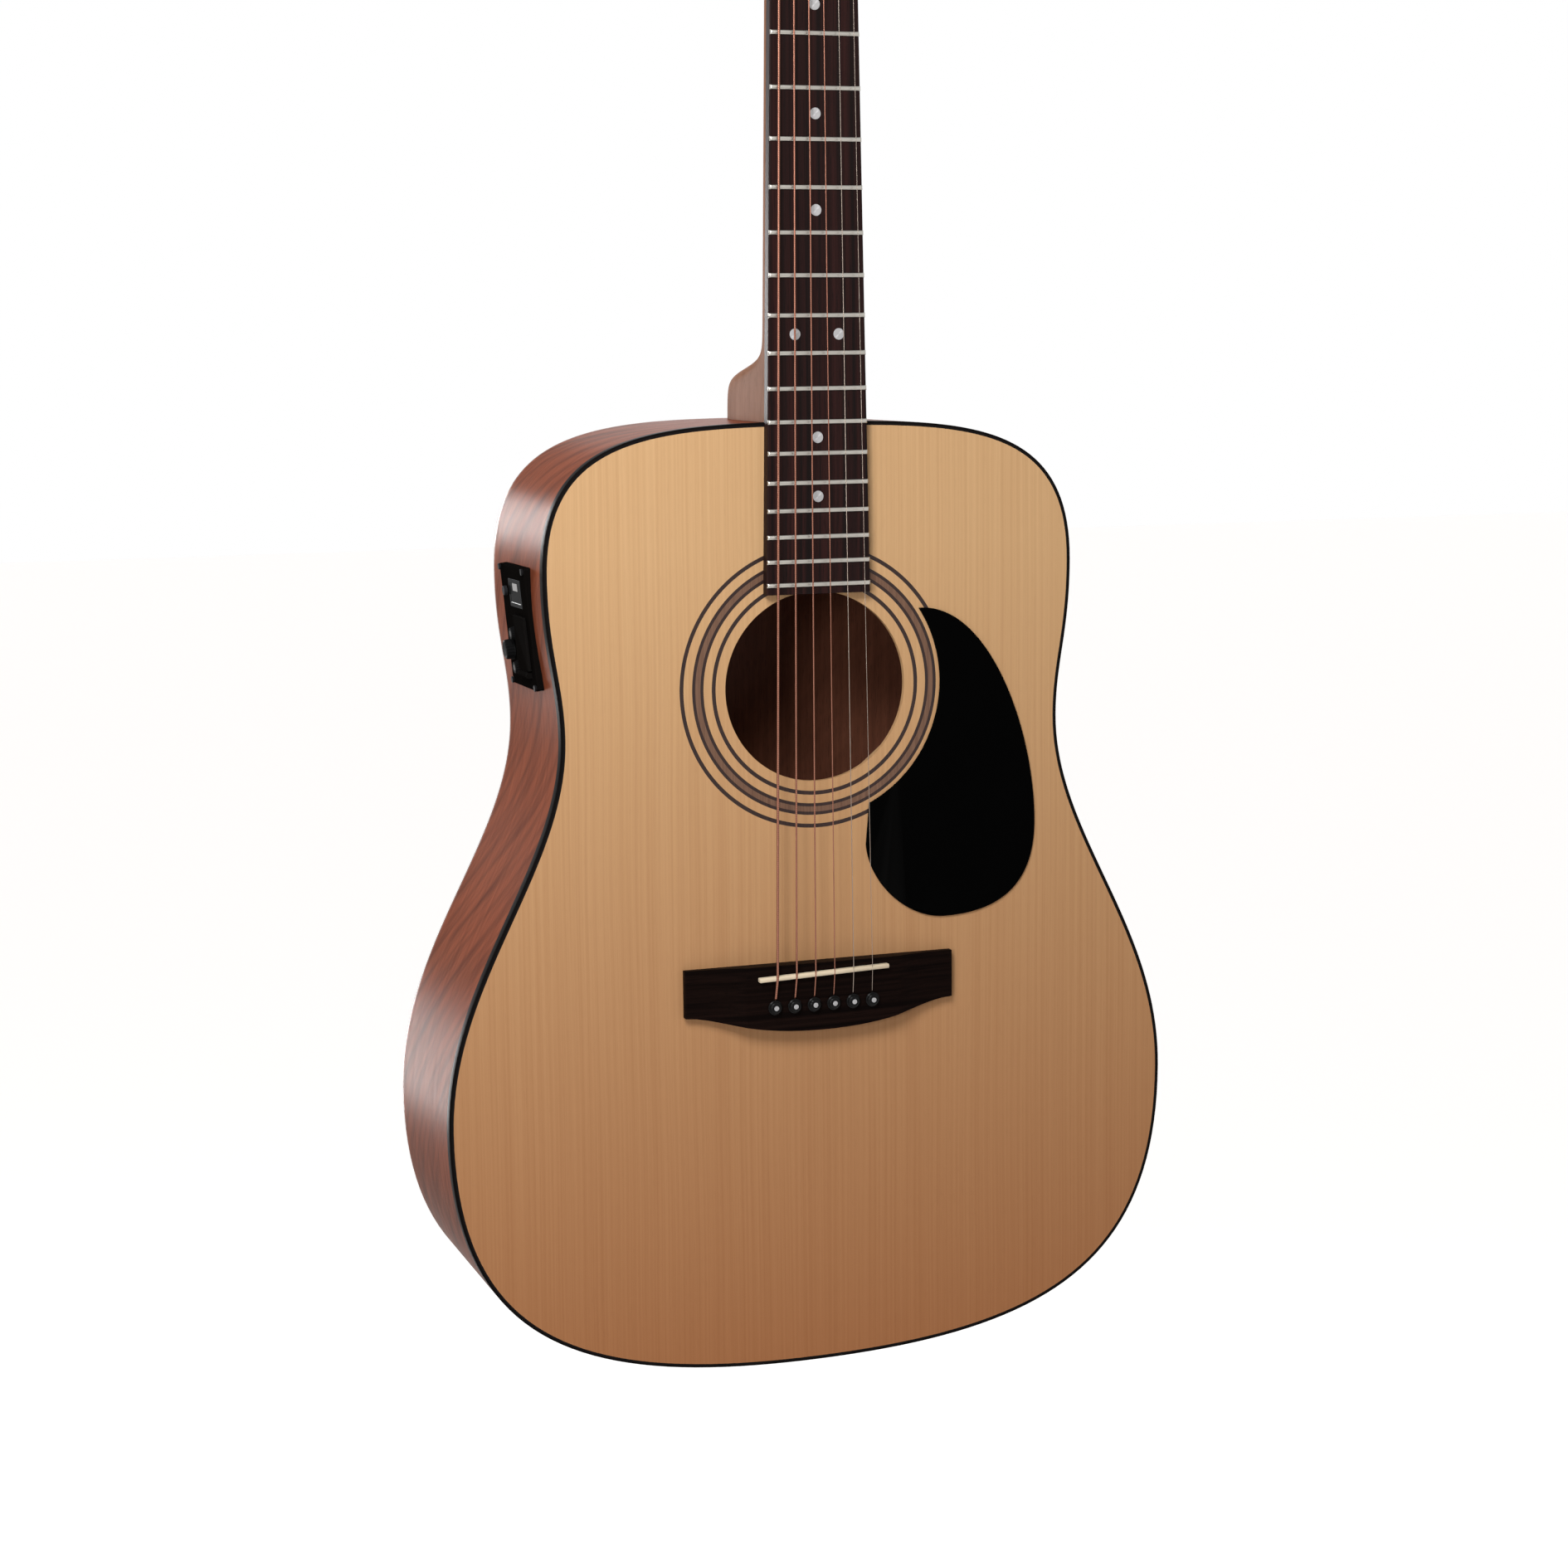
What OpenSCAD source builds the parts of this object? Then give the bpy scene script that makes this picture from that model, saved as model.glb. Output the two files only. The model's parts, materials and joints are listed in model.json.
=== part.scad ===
// Steel-string guitar: flat top, arched back, side preamp, sealed tuners.
// +Z runs from the tail to the headstock, the top faces -Y and +X is the treble side.
// The origin is on the axis of the output jack, at the outer face of the tail.
// Inside the modules, y is the depth behind the outer face of the top.

/* [Body] */
// Length of the body from the tail to the neck joint
body_l = 505; // [420:1:610]
// Width across the upper bout
upper_w = 293; // [240:1:350]
// Width across the waist
waist_w = 277; // [220:1:340]
// Width across the lower bout
lower_w = 404; // [330:1:490]
// Distance from the neck joint to the widest line of the upper bout
upper_in = 76; // [50:1:90]
// Height of the waist above the tail
waist_z = 345; // [280:1:370]
// Height of the widest line of the lower bout above the tail
lower_z = 145; // [110:1:170]
// Depth of the body at the neck joint
depth_neck = 100; // [90:0.5:125]
// Depth of the body at the tail
depth_tail = 121.5; // [105:0.5:150]
// Radius of the arch across the back
back_r = 4500; // [3500:100:9000]
// Thickness of the top
top_t = 2.8; // [2.2:0.1:3.6]
// Thickness of the back
back_t = 2.6; // [2:0.1:3.6]
// Thickness of the sides, and width of the binding that caps them
side_t = 2.2; // [1.6:0.1:3]
// Height of the binding strip
binding_h = 6; // [4:0.5:9]

/* [Curves] */
// Flatness of the shoulder line beside the neck
shoulder = 0.59; // [0.4:0.01:0.7]
// Roundness of the shoulder corner
shoulder_drop = 0.97; // [0.7:0.01:1]
// Straightness of the upper bout above the waist
upper_run = 0.47; // [0.3:0.01:0.6]
// Straightness of the waist above its narrowest line
waist_run = 0.35; // [0.2:0.01:0.6]
// Straightness of the waist below its narrowest line
waist_drop = 0.33; // [0.05:0.01:0.4]
// Straightness of the lower bout above its widest line
lower_run = 0.4; // [0.25:0.01:0.55]
// Roundness of the lower bout below its widest line
lower_drop = 0.795; // [0.5:0.005:0.9]
// Flatness of the tail
tail_run = 0.65; // [0.45:0.01:0.8]

/* [Inside] */
// Width of the linings that join the sides to the top and back
lining_t = 6; // [4:0.5:9]
// Height of the linings
lining_h = 14; // [9:0.5:18]
// Width of a brace
brace_w = 8; // [5:0.5:11]
// Height of a brace
brace_h = 15; // [9:0.5:18]
// Angle of the crossed braces from the centre line
cross_angle = 50; // [46:1:54]
// Width of the neck block
neck_block_w = 70; // [58:1:90]
// Length of the neck block along the body
neck_block_l = 50; // [36:1:58]
// Width of the tail block
tail_block_w = 80; // [50:1:110]
// Length of the tail block along the body
tail_block_l = 20; // [14:1:28]
// Width of the tenon on the heel
tenon_w = 18; // [12:1:24]
// Length of the tenon inside the neck block
tenon_l = 14; // [8:1:20]

/* [Soundhole] */
// Diameter of the soundhole
hole_d = 100; // [82:1:110]
// Distance from the soundhole to the end of the fingerboard, below 0 where it overhangs
hole_gap = -0.9; // [-2:0.1:6]
// Distance from the soundhole to the inner ring
ring_in = 5.3; // [3:0.1:7]
// Width of the inner and outer rings
ring_w = 2.1; // [0.8:0.1:2.2]
// Distance from the soundhole to the middle band
band_in = 11.9; // [10:0.1:14]
// Width of the middle band
band_w = 6.2; // [3:0.1:7]
// Distance from the soundhole to the outer ring
ring_out = 22.8; // [21:0.1:27]
// Depth of the rosette in the top
rosette_t = 1.2; // [0.8:0.1:1.6]

/* [Pickguard] */
// Thickness of the pickguard
guard_t = 1.2; // [0.6:0.1:2]
// Distance from the soundhole to the inner edge of the pickguard
guard_in = 20; // [18.5:0.1:24]
// Reach of the pickguard from the centre line
guard_x = 125.4; // [110:0.2:132]
// Drop of the pickguard below the soundhole's centre
guard_drop = 127.7; // [110:0.1:134]
// Left edge of the pickguard from the centre line
guard_left = 27.4; // [20:0.2:34]

/* [Bridge] */
// Length of the bridge
bridge_w = 151; // [130:1:170]
// Height of the bridge's ends
bridge_end = 25.5; // [20:0.5:30]
// Height of the bridge at its belly
bridge_mid = 36.5; // [32:0.5:44]
// Thickness of the bridge under the strings
bridge_t = 8.6; // [7.5:0.1:10]
// Thickness of the bridge at its ends
wing_t = 4.2; // [3:0.1:6]
// Length of the thinned end of the bridge
wing_l = 33; // [20:1:36]
// Distance from the bridge's straight edge to the saddle
saddle_in = 5.6; // [4.5:0.1:8]
// Length of the saddle
saddle_l = 73; // [66:0.5:80]
// Thickness of the saddle
saddle_t = 2.4; // [2.2:0.1:3.6]
// Depth of the saddle slot
saddle_slot = 5.4; // [4:0.1:6]
// Height of the saddle above the bridge
saddle_proud = 2.7; // [2:0.1:4]
// Slant of the saddle, farther from the neck on the bass side
saddle_slant = 1.9; // [0:0.1:3]
// Extra length from the nut to the saddle for intonation
compensation = 3; // [0:0.1:5]
// Thickness of the pickup strip under the saddle
pickup_t = 1; // [0.6:0.1:1.6]
// Distance from the saddle to the row of pins
pin_back = 16.6; // [14:0.1:19]
// Spread of the outer pins
pin_spread = 55; // [48:0.5:60]
// Radius of a pin's shank
pin_r = 2.5; // [2:0.1:2.8]
// Radius of a pin's head
pin_head_r = 3.9; // [3.2:0.1:4.2]
// Height of a pin's head
pin_head_h = 3; // [2:0.1:4]
// Length of a pin's shank
pin_l = 20; // [17:0.5:26]
// Thickness of the bridge plate
bridge_plate_t = 2.5; // [1.8:0.1:3.5]

/* [Neck] */
// Scale length from the nut to the nominal saddle line
scale_l = 643; // [560:1:700]
// Number of frets
fret_count = 20; // [18:1:21]
// Fret at the neck joint
body_fret = 14; // [12:1:14]
// Width of the nut
nut_w = 43; // [38:0.5:52]
// Width of the fingerboard at its end
board_end_w = 57.4; // [50:0.2:66]
// Thickness of the fingerboard
board_t = 6; // [5:0.1:7.5]
// Fingerboard left past the last fret
board_tail = 5; // [2:0.1:8]
// Height of a fret above the fingerboard
fret_h = 1.1; // [0.8:0.1:1.4]
// Width of a fret
fret_w = 2.4; // [1.8:0.1:3]
// Width of a fret's tang
tang_w = 0.6; // [0.4:0.1:0.8]
// Depth of a fret's tang
tang_h = 1.8; // [1.2:0.1:2.4]
// Radius of a position dot
dot_r = 3; // [2:0.1:3.5]
// Depth of a position dot
dot_t = 1.5; // [1:0.1:2]
// Thickness of the nut
nut_t = 6; // [4:0.5:7]
// Thickness of the neck wood at the nut
neck_t = 15; // [13:0.1:18]
// Thickness of the neck wood at the heel
neck_t_heel = 17; // [15:0.1:20]
// Depth of the heel
heel_d = 95; // [80:0.5:97]
// Reach of the heel from the neck joint
heel_l = 28; // [22:0.5:36]
// Softness of the curve from the neck into the heel
heel_soft = 3.2; // [2.5:0.1:5]
// Thickness of the heel cap
cap_t = 2.4; // [1.5:0.1:3]
// Radius of the truss rod
rod_r = 3; // [2.4:0.1:3.2]
// Radius of the truss rod nut
rod_nut_r = 4.5; // [4:0.1:5.5]
// Length of the truss rod nut
rod_nut_l = 14; // [10:0.5:18]

/* [Strings] */
// Diameter of the heaviest string
heavy_d = 1.35; // [1.1:0.01:1.5]
// Diameter of the lightest string
light_d = 0.3; // [0.25:0.01:0.36]
// Spread of the strings at the nut
nut_spread = 36; // [32:0.5:40]
// Spread of the strings at the saddle
saddle_spread = 53.5; // [48:0.5:58]
// Height of the strings' centres above the first frets
nut_action = 0.9; // [0.8:0.05:1.2]
// Turns of string round each post
turns = 3; // [2:1:4]
// Gap between the turns on a post
turn_gap = 0.5; // [0.45:0.05:0.8]

/* [Headstock] */
// Length of the headstock
head_l = 183; // [165:1:220]
// Width of the headstock above the nut
head_low_w = 62; // [58:1:72]
// Width of the headstock near its top
head_top_w = 73; // [68:1:76]
// Thickness of the headstock
head_t = 14; // [12:0.5:17]
// Angle that the headstock tilts back
head_tilt = 14; // [8:1:17]
// Length over which the headstock widens from the neck and its back flattens
flare_l = 28; // [22:1:30]
// Thickness of the plate on the headstock's face
plate_t = 1.4; // [0.8:0.1:2]

/* [Tuners] */
// Distance from the nut to the first pair of posts
tuner_first = 44; // [40:1:50]
// Distance between posts
tuner_step = 43; // [38:1:46]
// Distance of the posts from the centre line
post_x = 22; // [19:0.5:23]
// Radius of a post
post_r = 3; // [2.6:0.1:3.2]
// Length of a post above the headstock's face
post_l = 13.2; // [13:0.1:16]
// Radius of a bushing's sleeve
bushing_r = 4.4; // [4:0.1:5]
// Depth of a bushing in the wood
bushing_l = 9; // [6:0.5:11]
// Number of teeth on a post's gear
gear_teeth = 15; // [14:1:16]
// Thickness of a gear
gear_t = 3.5; // [2.5:0.1:4]
// Radius of a gear over its teeth
gear_r = 5.8; // [5.6:0.05:6]
// Height of a gear tooth
tooth_h = 1.05; // [1:0.05:1.2]
// Radius of the worm's core, and of the key's shaft
key_r = 2; // [1.8:0.05:2.1]
// Height of the worm's thread
thread_h = 0.9; // [0.8:0.05:0.95]
// Clearance between the gear's teeth and the worm's core
mesh_gap = 0.2; // [0.15:0.05:0.3]
// Distance from the post to the button
button_x = 20; // [19:0.5:26]
// Length of a button
button_l = 14; // [11:0.5:17]
// Height of a button
button_h = 18; // [14:0.5:20]
// Thickness of a button
button_t = 7.5; // [6:0.5:9]

/* [Preamp] */
// Height of the preamp panel
panel_h = 64; // [60:1:76]
// Width of the preamp panel
panel_w = 49; // [47:1:56]
// Thickness of the preamp panel
panel_t = 2.2; // [1.8:0.1:3]
// Distance from the neck joint to the panel's centre
panel_in = 104.5; // [98:0.5:112]
// Depth of the panel's centre behind the top
panel_d = 48.5; // [44:0.5:54]
// Length of the preamp housing inside the body
housing_l = 54; // [52:1:66]
// Wall of the preamp housing
housing_t = 1.8; // [1.4:0.1:2.4]
// Radius of the volume knob
volume_r = 5.5; // [4.5:0.1:5.8]
// Radius of the tone knobs
tone_r = 3.5; // [2.5:0.1:3.8]
// Height of the volume knob
volume_h = 4.6; // [4:0.1:9]
// Height of the tone knobs
tone_h = 2.6; // [2.2:0.1:7]
// Radius of a knob's shaft
knob_shaft_r = 2; // [1.5:0.1:2.2]
// Radius of the tuner switch
switch_r = 2.5; // [2:0.1:3]
// Travel of the tuner switch
switch_travel = 1; // [0.6:0.1:1.5]
// Height of the display window
window_h = 15; // [12:0.5:16]
// Width of the display window
window_w = 24; // [18:0.5:26]
// Thickness of the display window
window_t = 1; // [0.8:0.1:1.4]
// Height of the battery
battery_h = 26.5; // [25:0.1:27]
// Width of the battery
battery_w = 17.5; // [16:0.1:18]
// Length of the battery
battery_l = 48.5; // [45:0.5:50]
// Thickness of the battery door
door_t = 1.6; // [1.2:0.1:2.2]
// Radius of the door's hinge barrel
barrel_r = 1.5; // [1.3:0.1:1.8]

/* [Output jack] */
// Radius of the jack's bore
jack_bore_r = 3.25; // [3.2:0.05:3.3]
// Radius of the jack's barrel
jack_r = 6; // [5:0.1:7]
// Depth of the jack's axis behind the top
jack_d = 60; // [50:0.5:68]
// Length of the strap button outside the tail
strap_l = 15; // [10:0.5:20]
// Radius of the strap button's head
strap_r = 9; // [7.5:0.1:11]

/* [Fits] */
// Radial clearance of a turning shaft
running_gap = 0.05; // [0.02:0.01:0.09]
// Clearance between pieces that only lie beside each other
seat_gap = 0.3; // [0.2:0.05:0.5]

/* [Hidden] */
$fn = 48;
arch_fn = 720;
curve_steps = 14;
string_count = 6;

upper_z = body_l - upper_in;
nut_z = body_l + scale_l * (1 - pow(2, -body_fret / 12));
board_end_z = fret_z(fret_count) - board_tail;
hole_r = hole_d / 2;
hole_z = board_end_z - hole_gap - hole_r;
saddle_z = nut_z - scale_l - compensation;
bridge_z = saddle_z + saddle_in;
pin_z = saddle_z - pin_back;
head_z = nut_z + nut_t;
back_tilt = atan((depth_tail - depth_neck) / body_l);
depth_max = depth_tail + back_t;
block_z = body_l - side_t - neck_block_l;
string_at_nut = board_t + fret_h + nut_action;
string_at_saddle = bridge_t + saddle_proud;
groove_lip = 0.1;

// Braces: the crossed pair, tone bars below the bridge, finger braces and struts by the soundhole.
cross_drop = 27;
cross_z = hole_z - hole_r - cross_drop;
tone_drop = 38;
tone_gap = 45;
tone_angle = 78;
tone_l = 150;
finger_x = 105;
finger_drop = 28;
finger_angle = 40;
finger_l = 44;
strut_in = 12;
strut_up = 14;
strut_l = 40;
block_clear = 4;
tail_clear = 60;

rod_d = top_t + rod_nut_r + seat_gap;
rod_bore_r = rod_r + 0.4;
tenon_top = rod_d + rod_r + 6;
tenon_end = heel_d - 24;
rod_in = 20;
heel_over = 12;

// Headstock's foot: the neck's section where they meet, and the one that holds the whole flat plate.
foot_d = neck_depth(head_z) / cos(head_tilt);
foot_end = [head_top_w / 2, head_t] / 0.72;
foot_ease = 1.6;
foot_back = 0.3;

// Treble half of the body's outline, from the neck joint to the tail.
half_outline = let (
    u = upper_w / 2,
    w = waist_w / 2,
    l = lower_w / 2,
    bout = upper_z - waist_z,
    flare = waist_z - lower_z
) concat(
    curve([0, body_l], [shoulder * u, body_l], [u, upper_z + shoulder_drop * upper_in], [u, upper_z]),
    curve([u, upper_z], [u, upper_z - upper_run * bout], [w, waist_z + waist_run * bout], [w, waist_z]),
    curve([w, waist_z], [w, waist_z - waist_drop * flare], [l, lower_z + lower_run * flare], [l, lower_z]),
    curve([l, lower_z], [l, lower_z - lower_drop * lower_z], [tail_run * l, 0], [0, 0]),
    [[0, 0]]
);

// Worm and gear: the teeth reach past the thread's tip, and one turn moves one tooth.
gear_root_r = gear_r - tooth_h;
mesh_a = gear_r + mesh_gap + key_r;
mesh_r = (gear_r + mesh_a - key_r - thread_h) / 2;
worm_lead = 2 * PI * mesh_r / gear_teeth;
gear_d = head_t + 2;
key_d = gear_d + gear_t / 2;
house_end = key_d + key_r + thread_h + 1.3;
house_x = 8;
house_low = mesh_a + key_r + thread_h + 1.5;
house_corner = 3;
tab_x = 4;
tab_z = 14;
tab_t = 2.2;
gear_room = 0.4;
thread_room = 0.3;
worm_x = 4.2;
journal_x = 6.6;
thread_root = 0.45;
thread_tip = 0.22;
collar_r = key_r + 1.2;
collar_l = 2.4;
tooth_root_angle = 5.5;
tooth_tip_angle = 3;
screw_r = 1.1;
screw_l = 7;
screw_head_r = 2.4;
screw_head_t = 1.2;
screw_z = tab_z - 3.5;
washer_r = 6.8;
washer_t = 1;
hex_r = 5.6;
hex_top = 3.4;

// Preamp panel: a flat plate across the gently curved bass side.
panel_z = body_l - panel_in;
panel_x_low = side_x(panel_z - panel_h / 2);
panel_x_high = side_x(panel_z + panel_h / 2);
panel_lean = atan((panel_x_high - panel_x_low) / panel_h);
panel_bulge = max([for (i = [0:16]) let (s = i / 16)
    side_x(panel_z + (s - 0.5) * panel_h) - (panel_x_low + s * (panel_x_high - panel_x_low))]);
panel_x = (panel_x_low + panel_x_high) / 2 + panel_bulge / cos(panel_lean) + 0.02;
rim_in = 2 * panel_bulge + 1;
housing_h = panel_h - 6;
housing_w = panel_w - 6;
cell_d = 18;
edge_in = 3.5;
panel_soft = 1.5;
panel_screw_r = 1.7;
panel_screw_l = 5;
window_y = -1.5;
window_z = panel_h / 2 - 7 - window_h / 2;
bay_gap = 0.5;
bay_y = -8;
bay_z = -9;
door_h = battery_h + 4;
door_w = battery_w + 3.5;
hinge_z = bay_z - door_h / 2;
door_gap = 0.15;
door_low = hinge_z + 1.5 * barrel_r + 0.2;
hinge_x = -(panel_t + door_gap + barrel_r);
hinge_l = 13;
hinge_pin_r = 0.8;
lug_l = 2.4;
lug_gap = 0.2;
knob_y = panel_w / 2 - 9;
tone_in = 8;
volume_z = -13;
knob_step = volume_r + tone_r;
switch_y = panel_w / 2 - 8.5;
switch_z = panel_h / 2 - 14;
switch_proud = switch_travel + 0.8;
switch_collar_r = switch_r + 0.8;
switch_collar_t = 2;
flute_r = 0.6;
flute_out = 0.35;
knob_in = 9;

spruce = "#d8b183";
mahogany = "#7c4a36";
rosewood = "#2e1a15";
black = "#141313";
ivory = "#e6d8b8";
steel = "#b9bcc0";
chrome = "#d5d8db";
bronze = "#b98a52";

TUNED = [for (i = [1:string_count]) i];

// Distance of a fret's line above the tail.
function fret_z(n) = nut_z - scale_l * (1 - pow(2, -n / 12));

// Half width of the fingerboard and neck at a height.
function board_x(z) =
    nut_w / 2 + (board_end_w - nut_w) / 2 * (nut_z - z) / (nut_z - board_end_z);

function unit(v) = v / norm(v);

// Points of a curve with two end points and two handles, without its last point.
function curve(a, b, c, d) = [
    for (i = [0:curve_steps - 1])
        let (t = i / curve_steps, s = 1 - t)
        s * s * s * a + 3 * s * s * t * b + 3 * s * t * t * c + t * t * t * d
];

// Half width of the body at a height between the lower bout and the upper bout.
function side_x(z) = lookup(z, [
    for (i = [len(half_outline) - 1 - curve_steps:-1:curve_steps])
        [half_outline[i][1], half_outline[i][0]]
]);

function flipped(points) = [for (i = [len(points) - 1:-1:0]) [-points[i][0], points[i][1]]];

function backwards(points) = [for (i = [len(points) - 1:-1:0]) points[i]];

// The treble half moved inwards by a distance along its normals.
function half_inset(d) = let (last = len(half_outline) - 1) [
    for (i = [0:last])
        let (
            b = half_outline[i],
            u = i == 0 ? [1, 0] : unit(b - half_outline[i - 1]),
            v = i == last ? [-1, 0] : unit(half_outline[i + 1] - b),
            m = unit(u + v)
        )
        b + d / (u * m) * [m[1], -m[0]]
];

// The whole outline moved inwards by a distance.
function outline(d = 0) = let (
    half = half_inset(d),
    left = flipped(half)
) concat(half, [for (i = [1:len(left) - 2]) left[i]]);

// One half of a strip that follows the outline between two insets.
function half_strip(outer, inner) = concat(half_inset(outer), backwards(half_inset(inner)));

module from_top() translate([0, -jack_d, 0]) children();

// A flat shape in x and z, given thickness between two depths.
module slab(from, to) translate([0, to, 0]) rotate([90, 0, 0]) linear_extrude(to - from) children();

module block(low, high) translate(low) cube(high - low);

// A cylinder along the depth, between two depths.
module pillar(x, z, r, from, to) translate([x, to, z]) rotate([90, 0, 0]) cylinder(h = to - from, r = r);

// The space in front of the back's outer face, less a distance.
module back_space(less = 0)
    translate([0, depth_tail, 0])
        rotate([back_tilt, 0, 0])
            translate([0, -back_r, 0])
                cylinder(h = 4 * body_l, r = back_r - less, center = true, $fn = arch_fn);

// A closed skin over rings of points, with flat ends.
module loft(rings) {
    n = len(rings);
    m = len(rings[0]);
    walls = [
        for (i = [0:n - 2])
            for (k = [0:m - 1])
                let (a = i * m + k, b = i * m + (k + 1) % m)
                each [[a, a + m, b], [b, a + m, b + m]]
    ];
    first = [for (k = [1:m - 2]) [0, k, k + 1]];
    last = [for (k = [1:m - 2]) [(n - 1) * m, (n - 1) * m + k + 1, (n - 1) * m + k]];
    polyhedron([for (r = rings) each r], concat(walls, first, last));
}

function path_way(path, i) = let (last = len(path) - 1)
    i == 0 ? unit(path[1] - path[0])
    : i == last ? unit(path[last] - path[last - 1])
    : unit(unit(path[i + 1] - path[i]) + unit(path[i] - path[i - 1]));

// Rings of a round tube along a path; the side axis is never along the path.
function tube_rings(path, r, sides, side_axis) = [
    for (i = [0:len(path) - 1])
        let (
            way = path_way(path, i),
            a = unit(cross(way, side_axis)),
            b = cross(way, a)
        )
        [for (k = [0:sides - 1]) path[i] + r * (cos(360 * k / sides) * a + sin(360 * k / sides) * b)]
];

// Body shell

module soundboard() from_top() color(spruce) difference() {
    slab(0, top_t) polygon(outline(side_t));
    pillar(0, hole_z, hole_r, -1, top_t + 1);
    rosette_rings(1);
    pin_holes(-1, top_t + 1);
}

module back() from_top() color(mahogany) intersection() {
    slab(depth_neck / 2, depth_max) polygon(outline());
    difference() {
        back_space();
        back_space(back_t);
    }
}

// The strip between the outline and the inner face of the sides.
module side_strip() difference() {
    polygon(outline());
    polygon(outline(side_t));
}

module side_half(treble) from_top() color(mahogany) difference() {
    intersection() {
        slab(binding_h, depth_max) side_strip();
        back_space(back_t);
        block(
            [treble ? 0 : -lower_w, 0, -1],
            [treble ? lower_w : 0, depth_max + 1, body_l + 1]
        );
    }
    heel_tenon();
    rod_bore();
    jack_bore();
    if (!treble) preamp_opening();
}

module side_bass() side_half(false);

module side_treble() side_half(true);

module binding() from_top() color(black) difference() {
    slab(0, binding_h) side_strip();
    rod_bore();
}

module linings() from_top() color(mahogany) for (m = [0, 1]) mirror([m, 0, 0]) {
    difference() {
        slab(top_t, top_t + lining_h) polygon(half_strip(side_t, side_t + lining_t));
        end_blocks();
    }
    difference() {
        intersection() {
            slab(depth_neck / 2, depth_max) polygon(half_strip(side_t, side_t + lining_t));
            back_space(back_t);
        }
        back_space(back_t + lining_h);
        end_blocks();
    }
}

module neck_block_space() block(
    [-neck_block_w / 2, top_t, block_z],
    [neck_block_w / 2, depth_max, body_l]
);

module tail_block_space(over = 0) block(
    [-tail_block_w / 2 - over, top_t - over, 0],
    [tail_block_w / 2 + over, depth_max, side_t + tail_block_l + over]
);

module end_blocks() {
    neck_block_space();
    tail_block_space();
}

module inner_block() intersection() {
    slab(top_t, depth_max) polygon(outline(side_t));
    back_space(back_t);
    children();
}

module neck_block() from_top() color(mahogany) difference() {
    inner_block() neck_block_space();
    heel_tenon();
    rod_bore();
}

module tail_block() from_top() color(mahogany) difference() {
    inner_block() tail_block_space();
    jack_bore();
}

// Braces

module bar(x, z, angle, length, height = brace_h)
    translate([x, top_t, z])
        rotate([0, angle, 0])
            translate([-brace_w / 2, 0, -length / 2])
                cube([brace_w, height, length]);

module top_braces() from_top() color(spruce) {
    inside = outline(side_t + lining_t + seat_gap);
    tone_z = pin_z - tone_drop;
    tone_h = brace_h * 0.7;
    small_h = brace_h / 2;
    difference() {
        intersection() {
            slab(top_t, top_t + brace_h) polygon(inside);
            union() {
                for (s = [-1, 1]) {
                    bar(0, cross_z, s * cross_angle, 2 * body_l);
                    bar(s * finger_x, cross_z - finger_drop, -s * finger_angle, finger_l, small_h);
                    bar(s * (hole_r + strut_in), hole_z + strut_up, 0, strut_l, small_h);
                }
                bar(0, board_end_z + strut_up, 90, 2 * upper_w);
                bar(0, tone_z, tone_angle, tone_l, tone_h);
                bar(0, tone_z - tone_gap, tone_angle, tone_l + tone_gap, tone_h);
            }
        }
        tail_block_space(seat_gap);
    }
}

module back_braces() from_top() color(spruce) {
    inside = outline(side_t + lining_t + seat_gap);
    last = block_z - brace_w - block_clear;
    first = tail_block_l + tail_clear;
    for (s = [0, 0.3, 0.57, 1]) {
        z = first + s * (last - first);
        difference() {
            intersection() {
                block([-lower_w, depth_neck / 2, z], [lower_w, depth_max, z + brace_w]);
                slab(depth_neck / 2, depth_max) polygon(inside);
                back_space(back_t);
            }
            back_space(back_t + brace_h * 0.8);
        }
    }
}

module bridge_plate() from_top() color(mahogany) {
    high_x = (cross_z - bridge_z) * tan(cross_angle) - brace_w;
    low_x = min(bridge_w / 2 + 4, high_x + bridge_mid * 0.8);
    difference() {
        slab(top_t, top_t + bridge_plate_t) polygon([
            [-high_x, bridge_z],
            [high_x, bridge_z],
            [low_x, bridge_z - bridge_mid],
            [-low_x, bridge_z - bridge_mid]
        ]);
        pin_holes(0, pin_l);
    }
}

// Soundhole and pickguard

module ring(inner, width, over) difference() {
    pillar(0, hole_z, inner + width, -over, rosette_t);
    pillar(0, hole_z, inner, -over - 1, rosette_t + 1);
}

module rosette_rings(over = 0) {
    ring(hole_r + ring_in, ring_w, over);
    ring(hole_r + band_in, band_w, over);
    ring(hole_r + ring_out, ring_w, over);
}

module rosette() from_top() color(rosewood) rosette_rings();

module pickguard() from_top() color(black) {
    r = hole_r + guard_in;
    top_angle = 34;
    wide_drop = 79;
    low_x = guard_left + 2;
    tip = [r * cos(top_angle), hole_z + r * sin(top_angle)];
    heel = [low_x, hole_z - sqrt(r * r - low_x * low_x)];
    low_z = hole_z - guard_drop;
    wide = [guard_x, hole_z - wide_drop];
    base = [(guard_x + guard_left) / 2 - 4, low_z];
    side = [guard_left, heel[1] - 20];
    end_angle = atan2(heel[1] - hole_z, heel[0]);
    slab(-guard_t, 0) polygon(concat(
        curve(tip, tip + [40.5, 1.8], wide + [0, 49.8], wide),
        curve(wide, wide - [0, 32], base + [36, 0], base),
        curve(base, base - [22, 0], side - [0, 22], side),
        [for (i = [0:18]) let (a = end_angle + (top_angle - end_angle) * i / 19)
            [r * cos(a), hole_z + r * sin(a)]]
    ));
}

// Bridge

function pin_x(i) = pin_spread * (i / (string_count - 1) - 0.5);

module pin_holes(from, to)
    for (i = [0:string_count - 1]) pillar(pin_x(i), pin_z, pin_r + running_gap, from, to);

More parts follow.
